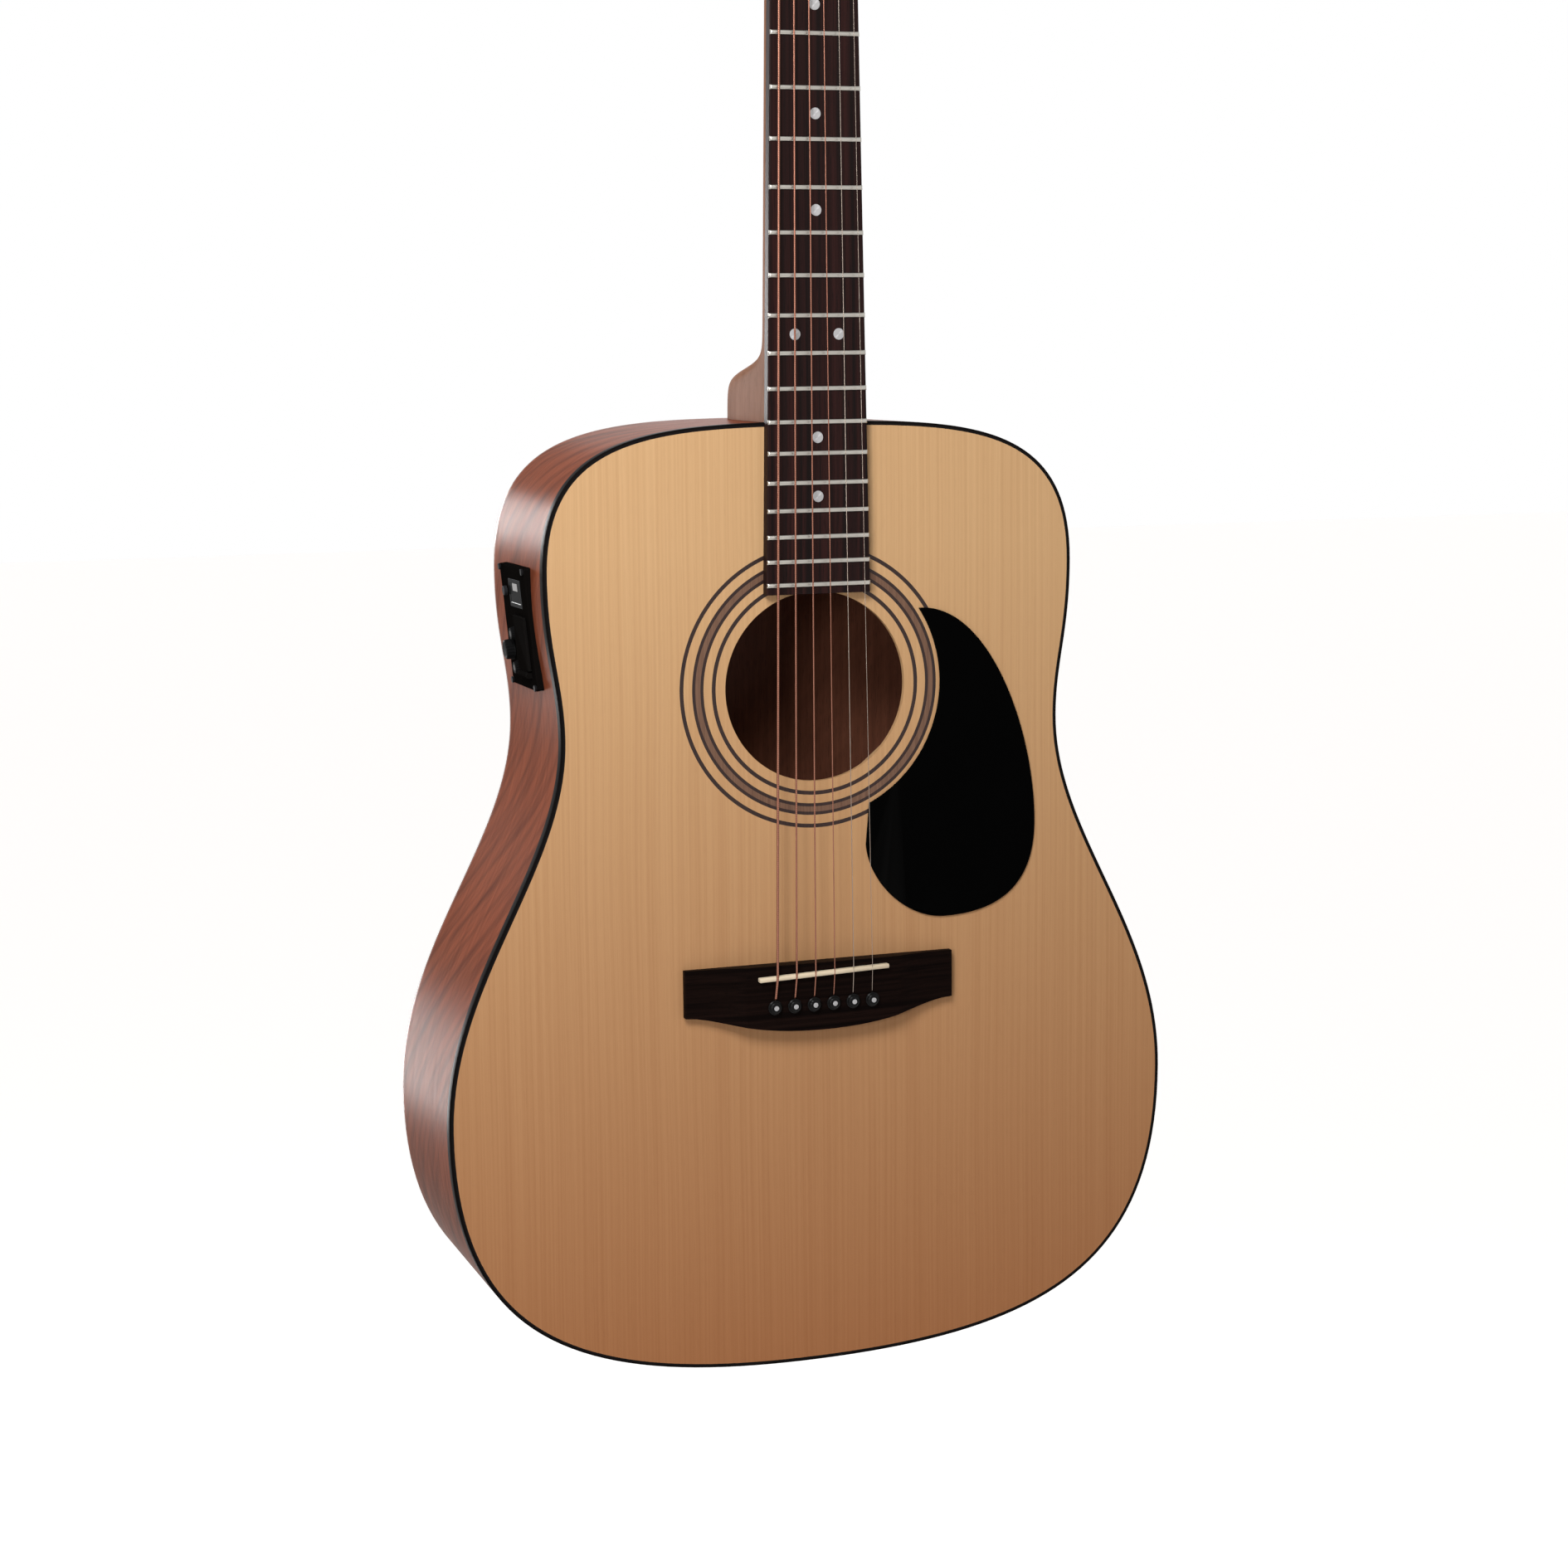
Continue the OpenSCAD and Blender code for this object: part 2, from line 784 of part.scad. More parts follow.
// The slanted line that the saddle and its slot share.
module saddle_frame() translate([0, 0, saddle_z]) rotate([0, -saddle_slant, 0]) children();

module saddle_box(low, high, grow = 0) saddle_frame() block(
    [-saddle_l / 2 - grow, low, -saddle_t / 2 - grow],
    [saddle_l / 2 + grow, high, saddle_t / 2 + grow]
);

// A belly between level ends, and wings that are scooped down from the block under the strings.
module bridge() from_top() color(rosewood) {
    half = bridge_w / 2;
    belly = [for (i = [12:-1:-12]) let (u = i / 12)
        [half * u, bridge_z - bridge_end - (bridge_mid - bridge_end) * (1 - pow(u, 2)) * (1 - pow(u, 4))]];
    wing = [for (i = [0:8]) let (s = i / 8)
        [half - wing_l * s, -wing_t - (bridge_t - wing_t) * pow(s, 2.6)]];
    difference() {
        intersection() {
            slab(-bridge_t, 0) polygon(concat([[-half, bridge_z], [half, bridge_z]], belly));
            translate([0, 0, bridge_z - bridge_mid - 1])
                linear_extrude(bridge_mid + 2)
                    polygon(concat([[-half, 1], [half, 1]], wing, flipped(wing)));
        }
        saddle_box(-bridge_t - 1, saddle_slot - bridge_t, running_gap);
        pin_holes(-bridge_t - 1, 1);
    }
}

module saddle() from_top() color(ivory) difference() {
    saddle_box(-string_at_saddle - groove_lip, saddle_slot - bridge_t - pickup_t);
    string_grooves();
}

module pickup_strip() from_top() color(steel)
    saddle_box(saddle_slot - bridge_t - pickup_t, saddle_slot - bridge_t);

module bridge_pins() from_top() color(black)
    for (i = [0:string_count - 1])
        translate([pin_x(i), -bridge_t, pin_z]) rotate([-90, 0, 0]) rotate_extrude() polygon([
            [0, pin_l],
            [pin_r * 0.8, pin_l],
            [pin_r, pin_l - 3],
            [pin_r, 0],
            [pin_head_r, 0],
            [pin_head_r, -pin_head_h * 0.4],
            [pin_head_r * 0.8, -pin_head_h * 0.8],
            [pin_head_r * 0.4, -pin_head_h],
            [0, -pin_head_h]
        ]);

// Neck

// Depth of the neck at a height: a shaft that swells into the heel.
function neck_depth(z) = let (
    shaft = neck_t + (neck_t_heel - neck_t) * (nut_z - z) / (nut_z - body_l),
    s = (z - body_l - heel_l) / heel_soft
) shaft + (heel_d + heel_over - shaft) / (1 + exp(s));

// A section flat in front and round behind.
function neck_ring(half, depth, z) = [
    for (k = [0:20])
        let (a = 9 * k, c = cos(a))
        [half * sign(c) * pow(abs(c), 0.9), depth * pow(sin(a), 0.85), z]
];

module neck_form() loft([
    for (z = concat(
        [for (s = [0, 0.28, 0.5, 0.64, 0.75, 0.85, 0.93, 1, 1.07, 1.15, 1.24, 1.34, 1.46, 1.65, 2])
            body_l + heel_l * s],
        [for (i = [1:6]) body_l + 2 * heel_l + (head_z + 2 - body_l - 2 * heel_l) * i / 6]
    )) neck_ring(board_x(z), neck_depth(z), z)
]);

// The tenon that holds the neck in its block.
module heel_tenon() block(
    [-tenon_w / 2, tenon_top, body_l - tenon_l],
    [tenon_w / 2, tenon_end, body_l + 2]
);

module rod_bore() translate([0, rod_d, block_z - 1]) cylinder(h = neck_block_l + 20, r = rod_bore_r);

module neck() from_top() color(mahogany) difference() {
    union() {
        intersection() {
            neck_form();
            head_frame() block([-nut_w, -head_t, -2 * scale_l], [nut_w, 2 * heel_l + 2 * heel_d, 0]);
            block([-board_end_w, -1, 0], [board_end_w, heel_d, head_z + scale_l]);
        }
        heel_tenon();
    }
    block([-rod_bore_r, -1, body_l - 1], [rod_bore_r, rod_d + rod_bore_r, nut_z - rod_in]);
}

module heel_cap() from_top() color(black) intersection() {
    neck_form();
    block([-board_end_w, heel_d, 0], [board_end_w, heel_d + cap_t, nut_z]);
}

module fingerboard() from_top() color(rosewood) difference() {
    slab(-board_t, 0) polygon([
        [-board_end_w / 2, board_end_z],
        [-nut_w / 2, nut_z],
        [nut_w / 2, nut_z],
        [board_end_w / 2, board_end_z]
    ]);
    for (n = [1:fret_count])
        block(
            [-board_end_w, -board_t - 1, fret_z(n) - tang_w / 2],
            [board_end_w, tang_h - board_t, fret_z(n) + tang_w / 2]
        );
    dots(1);
}

module frets() from_top() color(steel) for (n = [1:fret_count]) {
    half = board_x(fret_z(n) + fret_w / 2);
    translate([-half, -board_t, fret_z(n)])
        rotate([90, 0, 90])
            linear_extrude(2 * half) polygon([
                [tang_h, -tang_w / 2],
                [0, -tang_w / 2],
                [0, -fret_w / 2],
                [-fret_h * 0.55, -fret_w * 0.4],
                [-fret_h, -fret_w * 0.15],
                [-fret_h, fret_w * 0.15],
                [-fret_h * 0.55, fret_w * 0.4],
                [0, fret_w / 2],
                [0, tang_w / 2],
                [tang_h, tang_w / 2]
            ]);
}

// Dots stand between frets: two at the octave, one at the others.
module dots(over = 0) for (n = [3, 5, 7, 9, 12, 15, 17]) {
    z = (fret_z(n) + fret_z(n - 1)) / 2;
    for (x = n == 12 ? [-12, 12] : [0]) pillar(x, z, dot_r, -board_t - over, dot_t - board_t);
}

module position_dots() from_top() color(ivory) dots();

module nut() from_top() color(ivory) difference() {
    block([-nut_w / 2, -string_at_nut - groove_lip, nut_z], [nut_w / 2, 0, head_z]);
    string_grooves();
}

module truss_rod() from_top() color(steel)
    translate([0, rod_d, block_z - rod_nut_l * 0.6])
        cylinder(h = nut_z - rod_in - 1 - block_z + rod_nut_l * 0.6, r = rod_r);

module truss_rod_nut() from_top() color(steel)
    translate([0, rod_d, block_z - seat_gap - rod_nut_l]) difference() {
        cylinder(h = rod_nut_l, r = rod_nut_r);
        translate([0, 0, rod_nut_l * 0.4]) cylinder(h = rod_nut_l, r = rod_r + running_gap);
        translate([0, 0, -1]) cylinder(h = rod_nut_l * 0.3 + 1, r = rod_r, $fn = 6);
    }

// Headstock

module head_frame() translate([0, 0, head_z]) rotate([-head_tilt, 0, 0]) children();

// A point of the headstock's own frame, seen from the body.
function from_head(p) = [
    p[0],
    p[1] * cos(head_tilt) + p[2] * sin(head_tilt),
    head_z - p[1] * sin(head_tilt) + p[2] * cos(head_tilt)
];

module head_outline() {
    flare = [head_low_w / 2, flare_l];
    wide = [head_top_w / 2, head_l - 18];
    corner = [head_top_w / 2 - 10, head_l - 4];
    half = concat(
        curve([nut_w / 2, 0], [nut_w / 2, 12], flare - [2, 15], flare),
        curve(flare, flare, wide, wide),
        curve(wide, wide + [0, 9], corner + [6, -1], corner),
        curve(corner, corner + [-8, 1], [8, head_l], [0, head_l])
    );
    polygon(concat(half, [[0, head_l]], flipped(half)));
}

module tuner_bores(r, from, to)
    for (i = TUNED) pillar(tuner_x(i), tuner_z(i), r, from, to);

// The neck's round section, swelling until the headstock's flat plate lies inside it.
module foot_form() loft([
    for (z = concat([-1], [for (i = [0:10]) flare_l * i / 10], [head_l + 1]))
        let (
            s = pow(min(max(z / flare_l, 0), 1), foot_ease),
            size = [nut_w / 2, foot_d] * (1 - s) + foot_end * s
        )
        concat([[size[0], -1, z]], neck_ring(size[0], size[1], z), [[-size[0], -1, z]])
]);

// The headstock's depth, which thins from the neck's to its own.
module head_profile() translate([-head_top_w, 0, 0])
    rotate([90, 0, 90])
        linear_extrude(2 * head_top_w) polygon([
            [-1, -1],
            [foot_d + foot_back, -1],
            [foot_d + foot_back, 0],
            [head_t, flare_l],
            [head_t, head_l + 1],
            [-1, head_l + 1]
        ]);

module headstock() from_top() color(mahogany) head_frame() difference() {
    intersection() {
        slab(0, foot_d + 1) head_outline();
        head_profile();
        foot_form();
    }
    tuner_bores(bushing_r + running_gap, -1, head_t + 1);
    for (i = TUNED)
        tuner_frame(i) pillar(0, screw_z, screw_r + running_gap, head_t - screw_l - 1, head_t + 1);
}

module headplate() from_top() color(rosewood) head_frame() difference() {
    slab(-plate_t, 0) head_outline();
    tuner_bores(bushing_r + running_gap, -plate_t - 1, 1);
}

// Strings, numbered from the bass side

function string_r(i) = heavy_d / 2 * pow(light_d / heavy_d, (i - 1) / (string_count - 1));

function spread_x(i, spread) = spread * ((i - 1) / (string_count - 1) - 0.5);

// Posts: strings 1 to 3 on the bass side and 6 to 4 on the treble side, nearest the nut first.
function tuner_side(i) = i > string_count / 2 ? 1 : -1;

function tuner_x(i) = tuner_side(i) * post_x;

function tuner_z(i) = tuner_first + tuner_step * (i > string_count / 2 ? string_count - i : i - 1);

function winding_r(i) = post_r + string_r(i) + running_gap;

function winding_d(i) = -(plate_t + hex_top + 0.5 + string_r(i));

// Where a string leaves the nut, in the headstock's frame.
function nut_point(i) = let (d = -string_at_nut, z = -nut_t / 2) [
    spread_x(i, nut_spread),
    z * cos(head_tilt) + d * sin(head_tilt)
];

// Direction from a post to the point where its string meets the winding.
function touch_angle(i) = let (v = nut_point(i) - [tuner_x(i), tuner_z(i)])
    atan2(v[1], v[0]) - tuner_side(i) * acos(winding_r(i) / norm(v));

function touch_point(i) = [tuner_x(i), tuner_z(i)]
    + winding_r(i) * [cos(touch_angle(i)), sin(touch_angle(i))];

// A string stops short of the circle that the turning winding sweeps.
function string_stop(i) = let (
    w = winding_r(i),
    d = 2 * string_r(i),
    clear = sqrt(w * w + d * d) + d + seat_gap,
    back = sqrt(clear * clear - w * w),
    touch = touch_point(i)
) touch + back * unit(nut_point(i) - touch);

function string_path(i) = let (
    stop = string_stop(i),
    x = spread_x(i, saddle_spread),
    pin = pin_x(i - 1)
) [
    [x + (pin - x) * 0.75, -bridge_t - string_r(i) - seat_gap, pin_z + pin_head_r + string_r(i)],
    [x, -string_at_saddle, saddle_z + x * tan(saddle_slant)],
    [spread_x(i, nut_spread), -string_at_nut, nut_z + nut_t / 2],
    from_head([stop[0], winding_d(i), stop[1]])
];

module string_tube(i, grow = 0) loft(tube_rings(string_path(i), string_r(i) + grow, 8, [1, 0, 0]));

module string_grooves() for (i = TUNED) string_tube(i, running_gap);

module strings() from_top() color(bronze) for (i = TUNED) string_tube(i);

function winding_path(i) = let (
    w = winding_r(i),
    start = touch_angle(i),
    step = -tuner_side(i) * 360 / 24,
    pitch = 2 * string_r(i) + turn_gap,
    run = 2 * string_r(i),
    count = 24 * turns,
    loop = [for (k = [0:count]) let (a = start + step * k)
        [tuner_x(i) + w * cos(a), winding_d(i) - pitch * k / 24, tuner_z(i) + w * sin(a)]],
    way = function(a) -tuner_side(i) * [-sin(a), 0, cos(a)]
) concat(
    [loop[0] - run * way(start)],
    loop,
    [loop[count] + run * way(start + step * count)]
);

// Least gap between turns, between points at least half a turn apart.
function winding_gap(i) = let (path = winding_path(i), last = len(path) - 1)
    min([for (j = [0:last - 12]) for (k = [j + 12:last]) norm(path[j] - path[k])]) - 2 * string_r(i);

echo(least_winding_gap = min([for (i = TUNED) winding_gap(i)]));

module string_winding(i) from_top() color(bronze) head_frame()
    loft(tube_rings(winding_path(i), string_r(i), 6, [0, 1, 0]));

// Tuners: local x points out of the headstock's edge and the worm lies on the nut's side of the post.

module tuner_frame(i)
    translate([tuner_x(i), 0, tuner_z(i)])
        mirror([tuner_side(i) > 0 ? 0 : 1, 0, 0])
            children();

module lengthwise(x, d, z, r, length) translate([x, d, z]) rotate([0, 90, 0]) cylinder(h = length, r = r);

module rounded(low, high, r) polygon([
    for (q = [0:3])
        for (a = [0:15:90])
            let (
                cx = q == 0 || q == 3 ? high[0] - r : low[0] + r,
                cy = q < 2 ? high[1] - r : low[1] + r
            )
            [cx + r * cos(90 * q + a), cy + r * sin(90 * q + a)]
]);

module tuner_housing() difference() {
    union() {
        slab(head_t, house_end) rounded([-house_x, -house_low], [house_x, gear_r + 2], house_corner);
        slab(head_t, head_t + tab_t) rounded([-tab_x, 0], [tab_x, tab_z], house_corner);
    }
    pillar(0, 0, gear_r + gear_room, head_t - 1, gear_d + gear_t + gear_room);
    lengthwise(-worm_x, key_d, -mesh_a, key_r + thread_h + thread_room, 2 * worm_x);
    lengthwise(-journal_x, key_d, -mesh_a, key_r + running_gap, button_x);
    pillar(0, screw_z, screw_r + running_gap, head_t - 1, head_t + tab_t + 1);
}

module tuner_housings() from_top() color(chrome) head_frame() for (i = TUNED) tuner_frame(i) tuner_housing();

module tuner_bushings() from_top() color(chrome) head_frame() for (i = TUNED)
    translate([tuner_x(i), 0, tuner_z(i)]) difference() {
        union() {
            pillar(0, 0, bushing_r, -plate_t, bushing_l);
            pillar(0, 0, washer_r, -plate_t - washer_t, -plate_t);
            pillar(0, 0, hex_r, -plate_t - hex_top, -plate_t - washer_t, $fn = 6);
        }
        pillar(0, 0, post_r + running_gap, -plate_t - hex_top - 1, bushing_l + 1);
    }

module tuner_screws() from_top() color(steel) head_frame() for (i = TUNED) tuner_frame(i) {
    pillar(0, screw_z, screw_head_r, head_t + tab_t, head_t + tab_t + screw_head_t);
    pillar(0, screw_z, screw_r, head_t - screw_l, head_t + tab_t);
}

// The thread faces the gear with one crest in the middle of a tooth gap.
function thread_rings() = let (
    core = key_r / cos(360 / 32) + 0.02,
    crest = key_r + thread_h
) [
    for (k = [-24:24])
        let (a = 360 * k / 16, x = worm_lead * k / 16)
        [for (p = [[-thread_root, core], [thread_root, core], [thread_tip, crest], [-thread_tip, crest]])
            [x + p[0], key_d - p[1] * sin(a), -mesh_a + p[1] * cos(a)]]
];

module tuner_key(i) from_top() color(chrome) head_frame() tuner_frame(i) {
    loft(thread_rings());
    lengthwise(seat_gap - journal_x, key_d, -mesh_a, key_r, journal_x + button_x);
    lengthwise(house_x + seat_gap, key_d, -mesh_a, collar_r, collar_l);
    translate([button_x + button_l / 2, 0, -mesh_a])
        slab(key_d - button_t / 2, key_d + button_t / 2)
            polygon([for (a = [0:10:350]) [
                button_l / 2 * sign(cos(a)) * pow(abs(cos(a)), 0.8),
                button_h / 2 * sign(sin(a)) * pow(abs(sin(a)), 0.8)
            ]]);
}

// Straight-cut teeth with a gap, not a tooth, on the worm's side.
module gear_outline() polygon([
    for (k = [0:gear_teeth - 1])
        let (a = 360 * (k + 0.5) / gear_teeth - 90)
        each [
            gear_root_r * [cos(a - tooth_root_angle), sin(a - tooth_root_angle)],
            gear_r * [cos(a - tooth_tip_angle), sin(a - tooth_tip_angle)],
            gear_r * [cos(a + tooth_tip_angle), sin(a + tooth_tip_angle)],
            gear_root_r * [cos(a + tooth_root_angle), sin(a + tooth_root_angle)]
        ]
]);

module tuner_post(i) from_top() color(chrome) head_frame() tuner_frame(i) {
    slab(gear_d, gear_d + gear_t) gear_outline();
    pillar(0, 0, post_r, -plate_t - post_l, gear_d);
}

// Preamp: local y is depth, local z runs up the side and -x points out of the body.

module panel_frame() translate([-panel_x, panel_d, panel_z]) rotate([0, -panel_lean, 0]) children();

module box_about(y, z, width, height, from, to)
    block([from, y - width / 2, z - height / 2], [to, y + width / 2, z + height / 2]);

module preamp_opening() panel_frame() {
    box_about(0, 0, housing_w + 2 * seat_gap, housing_h + 2 * seat_gap, -10, housing_l);
    panel_corners() lengthwise(-10, 0, 0, screw_r + running_gap, 30);
}

module panel_corners()
    for (y = [-1, 1])
        for (z = [-1, 1])
            translate([0, y * (panel_w / 2 - edge_in / 2), z * (panel_h / 2 - edge_in / 2)]) children();

module preamp_housing() from_top() color(black) panel_frame() difference() {
    box_about(0, 0, housing_w, housing_h, 0, housing_l);
    box_about(bay_y, bay_z, battery_w + 2 * bay_gap, battery_h + 2 * bay_gap, -1, battery_l + 2 * bay_gap);
    block(
        [-1, -housing_w / 2 + housing_t, bay_z + door_h / 2 + housing_t],
        [cell_d, housing_w / 2 - housing_t, housing_h / 2 - housing_t]
    );
    block(
        [-1, bay_y + door_w / 2 + housing_t, -housing_h / 2 + housing_t],
        [cell_d, housing_w / 2 - housing_t, bay_z + door_h / 2 + housing_t + 1]
    );
}

// The panel's outline, from one height above the side to another.
module panel_plate(from, to) translate([from, 0, 0])
    rotate([90, 0, 90])
        linear_extrude(to - from)
            rounded([-panel_w / 2, -panel_h / 2], [panel_w / 2, panel_h / 2], panel_soft);

// A rim under the panel that reaches down to the curved side.
module panel_rim() difference() {
    panel_frame() difference() {
        panel_plate(-panel_t / 2, rim_in);
        box_about(0, 0, housing_w + 2 * seat_gap, housing_h + 2 * seat_gap, -panel_t, rim_in + 1);
        panel_corners() lengthwise(-panel_t, 0, 0, screw_r + running_gap, panel_t + rim_in + 1);
    }
    slab(-1, depth_max) polygon(outline());
}

module preamp_panel() from_top() color(black) {
    panel_rim();
    panel_frame() panel_face();
}

module panel_face() difference() {
    union() {
        panel_plate(-panel_t, 0);
        for (s = [-1, 1])
            box_about(bay_y + s * (hinge_l / 2 + lug_gap + lug_l / 2), hinge_z, lug_l, 2 * barrel_r,
                hinge_x - barrel_r, -panel_t + 0.5);
    }
    box_about(window_y, window_z, window_w + 2 * running_gap, window_h + 2 * running_gap,
        -panel_t - 1, window_t - panel_t);
    box_about(window_y, window_z, window_w - 3, window_h - 3, -panel_t, 1);
    box_about(bay_y, bay_z, battery_w + 2 * bay_gap, battery_h + 2 * bay_gap, -panel_t - 1, 1);
    for (k = [-1:1]) knob_bore(k);
    lengthwise(-panel_t - 1, switch_y, switch_z, switch_r + running_gap, panel_t + 2);
    lengthwise_hinge(hinge_l + 2 * lug_l + 1, hinge_pin_r + running_gap);
    panel_corners() lengthwise(-panel_t - 1, 0, 0, screw_r + running_gap, panel_t + 2);
}

module lengthwise_hinge(length, r)
    translate([hinge_x, bay_y + length / 2, hinge_z]) rotate([90, 0, 0]) cylinder(h = length, r = r);

// Place of a knob on the panel: k is 0 for volume and 1 or -1 for the tone knobs.
function knob_at(k) = [knob_y - tone_in * abs(k), volume_z + k * knob_step];

module knob_bore(k)
    lengthwise(-panel_t - 1, knob_at(k)[0], knob_at(k)[1], knob_shaft_r + running_gap, panel_t + 2);

module display_window() from_top() color("#3c4a52") panel_frame()
    box_about(window_y, window_z, window_w, window_h, -panel_t, window_t - panel_t);

// A fluted cap on a shaft.
module knob(k, r, height) from_top() color(black) panel_frame() {
    y = knob_at(k)[0];
    z = knob_at(k)[1];
    difference() {
        lengthwise(-panel_t - seat_gap - height, y, z, r, height);
        for (a = [0:30:330]) {
            flute_y = y + (r + flute_out) * cos(a);
            flute_z = z + (r + flute_out) * sin(a);
            lengthwise(-panel_t - height - 1, flute_y, flute_z, flute_r, height - flute_r);
        }
    }
    lengthwise(-panel_t - seat_gap, y, z, knob_shaft_r, panel_t + seat_gap + knob_in);
}

module volume_knob() knob(0, volume_r, volume_h);

module bass_knob() knob(1, tone_r, tone_h);

module treble_knob() knob(-1, tone_r, tone_h);

module tuner_switch() from_top() color("#8d9196") panel_frame() {
    lengthwise(-panel_t - switch_proud, switch_y, switch_z, switch_r, panel_t + switch_proud + seat_gap);
    lengthwise(seat_gap, switch_y, switch_z, switch_collar_r, switch_collar_t);
}

module battery() from_top() color("#5a4a32") panel_frame()
    box_about(bay_y, bay_z, battery_w, battery_h, bay_gap, battery_l + bay_gap);

module battery_door() from_top() color(black) panel_frame() {
    block(
        [-panel_t - door_gap - door_t, bay_y - door_w / 2, door_low],
        [-panel_t - door_gap, bay_y + door_w / 2, bay_z + door_h / 2]
    );
    block(
        [-panel_t - door_gap - door_t, bay_y - hinge_l / 2, hinge_z],
        [-panel_t - door_gap, bay_y + hinge_l / 2, door_low + barrel_r]
    );
    lengthwise_hinge(hinge_l, barrel_r);
    lengthwise_hinge(hinge_l + 2 * lug_l, hinge_pin_r);
}

module preamp_screws() from_top() color(steel) panel_frame() panel_corners() {
    lengthwise(-panel_t - screw_head_t, 0, 0, panel_screw_r, screw_head_t);
    lengthwise(-panel_t, 0, 0, screw_r, panel_t + panel_screw_l);
}

// Output jack and strap button

module jack_bore()
    translate([0, jack_d, -1]) cylinder(h = side_t + tail_block_l + 2, r = jack_r + running_gap);

module output_jack() from_top() color(chrome) translate([0, jack_d, 0]) difference() {
    waist_r = strap_r - 2.5;
    flange_r = strap_r + 1;
    flange_t = 3;
    inner = side_t + tail_block_l;
    tail = 8;
    union() {
        rotate_extrude() polygon([
            [0, -strap_l],
            [strap_r - 1, -strap_l],
            [strap_r, 1 - strap_l],
            [strap_r, 2.5 - strap_l],
            [waist_r, 5 - strap_l],
            [waist_r, -flange_t],
            [flange_r, 1 - flange_t],
            [flange_r, 0],
            [jack_r, 0],
            [jack_r, inner + tail],
            [0, inner + tail]
        ]);
        translate([0, 0, inner]) cylinder(h = flange_t, r = jack_r + flange_t, $fn = 6);
    }
    translate([0, 0, -strap_l - 1]) cylinder(h = strap_l + inner + tail + 2, r = jack_bore_r);
}

soundboard();
back();
side_bass();
side_treble();
binding();
linings();
neck_block();
tail_block();
top_braces();
back_braces();
bridge_plate();
rosette();
pickguard();
bridge();
saddle();
pickup_strip();
bridge_pins();
neck();
heel_cap();
headstock();
headplate();
fingerboard();
frets();
position_dots();
nut();
truss_rod();
truss_rod_nut();
strings();
tuner_housings();
tuner_bushings();
tuner_screws();
for (i = TUNED) tuner_key(i);
for (i = TUNED) tuner_post(i);
for (i = TUNED) string_winding(i);
preamp_housing();
preamp_panel();
display_window();
volume_knob();
bass_knob();
treble_knob();
tuner_switch();
battery();
battery_door();
preamp_screws();
output_jack();
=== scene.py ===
import json
import math
from contextlib import contextmanager

import bmesh
import bpy
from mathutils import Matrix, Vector, geometry


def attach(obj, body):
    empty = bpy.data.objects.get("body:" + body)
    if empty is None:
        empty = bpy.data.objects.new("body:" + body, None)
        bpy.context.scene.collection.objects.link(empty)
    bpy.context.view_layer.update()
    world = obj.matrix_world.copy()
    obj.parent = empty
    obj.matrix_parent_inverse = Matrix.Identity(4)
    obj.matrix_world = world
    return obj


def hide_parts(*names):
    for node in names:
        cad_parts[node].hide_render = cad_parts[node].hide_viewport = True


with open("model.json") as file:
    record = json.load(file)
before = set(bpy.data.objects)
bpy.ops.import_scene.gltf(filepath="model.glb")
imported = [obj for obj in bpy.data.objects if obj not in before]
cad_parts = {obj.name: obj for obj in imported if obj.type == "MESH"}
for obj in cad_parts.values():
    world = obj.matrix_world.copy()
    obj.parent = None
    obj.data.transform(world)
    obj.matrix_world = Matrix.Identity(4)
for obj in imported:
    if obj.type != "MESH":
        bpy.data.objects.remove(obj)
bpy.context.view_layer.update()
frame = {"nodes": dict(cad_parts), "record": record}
NODES = frame["nodes"]
NODE_BODY = {n: b for b, ns in frame["record"]["behaviour"]["bodies"].items() for n in ns}
NODE_SLOT = {s["node"]: s["material_slot"] for s in frame["record"]["subparts"]}
ROOT = "guitar"
MM = 0.001
# Angles in degrees past which an edge is shaded as an edge: on most pieces, and once its edges are rounded.
SHARP, SHARP_ROUNDED = 35, 50
HOLE_SIDES = 160

# Sizes in millimetres, as built. x is across, z along the guitar, d the depth behind the top's outer face.
JACK_D = 60.0
BODY_L, UPPER_W, WAIST_W, LOWER_W = 505.0, 293.0, 277.0, 404.0
UPPER_Z, WAIST_Z, LOWER_Z = 429.0, 345.0, 145.0
SHOULDER, SHOULDER_DROP, UPPER_RUN, WAIST_RUN = 0.59, 0.97, 0.47, 0.35
WAIST_DROP, LOWER_RUN, LOWER_DROP, TAIL_RUN = 0.33, 0.40, 0.795, 0.65
DEPTH_NECK, DEPTH_TAIL, BACK_R = 100.0, 121.5, 4500.0
TOP_T, BACK_T, SIDE_T, BINDING_H = 2.8, 2.6, 2.2, 6.0
BACK_TILT = math.atan((DEPTH_TAIL - DEPTH_NECK) / BODY_L)
SCALE_L, FRETS, BODY_FRET = 643.0, 20, 14
NUT_Z = BODY_L + SCALE_L * (1 - 2 ** (-BODY_FRET / 12))
NUT_T, NUT_W, BOARD_END_W, BOARD_T, BOARD_TAIL = 6.0, 43.0, 57.4, 6.0, 5.0
FRET_H, FRET_W, DOT_R = 1.1, 2.4, 3.0
DOT_FRETS, OCTAVE, DOT_X, BOARD_SOFT = (3, 5, 7, 9, 12, 15, 17), 12, 12.0, 0.7
HEAD_Z, HEAD_L, HEAD_T, HEAD_TILT, PLATE_T = NUT_Z + NUT_T, 183.0, 14.0, math.radians(14), 1.4
HEAD_LOW_W, HEAD_TOP_W = 62.0, 73.0
NECK_T, NECK_T_HEEL, HEEL_D, HEEL_L, HEEL_SOFT, CAP_T = 15.0, 17.0, 95.0, 28.0, 3.2, 2.4
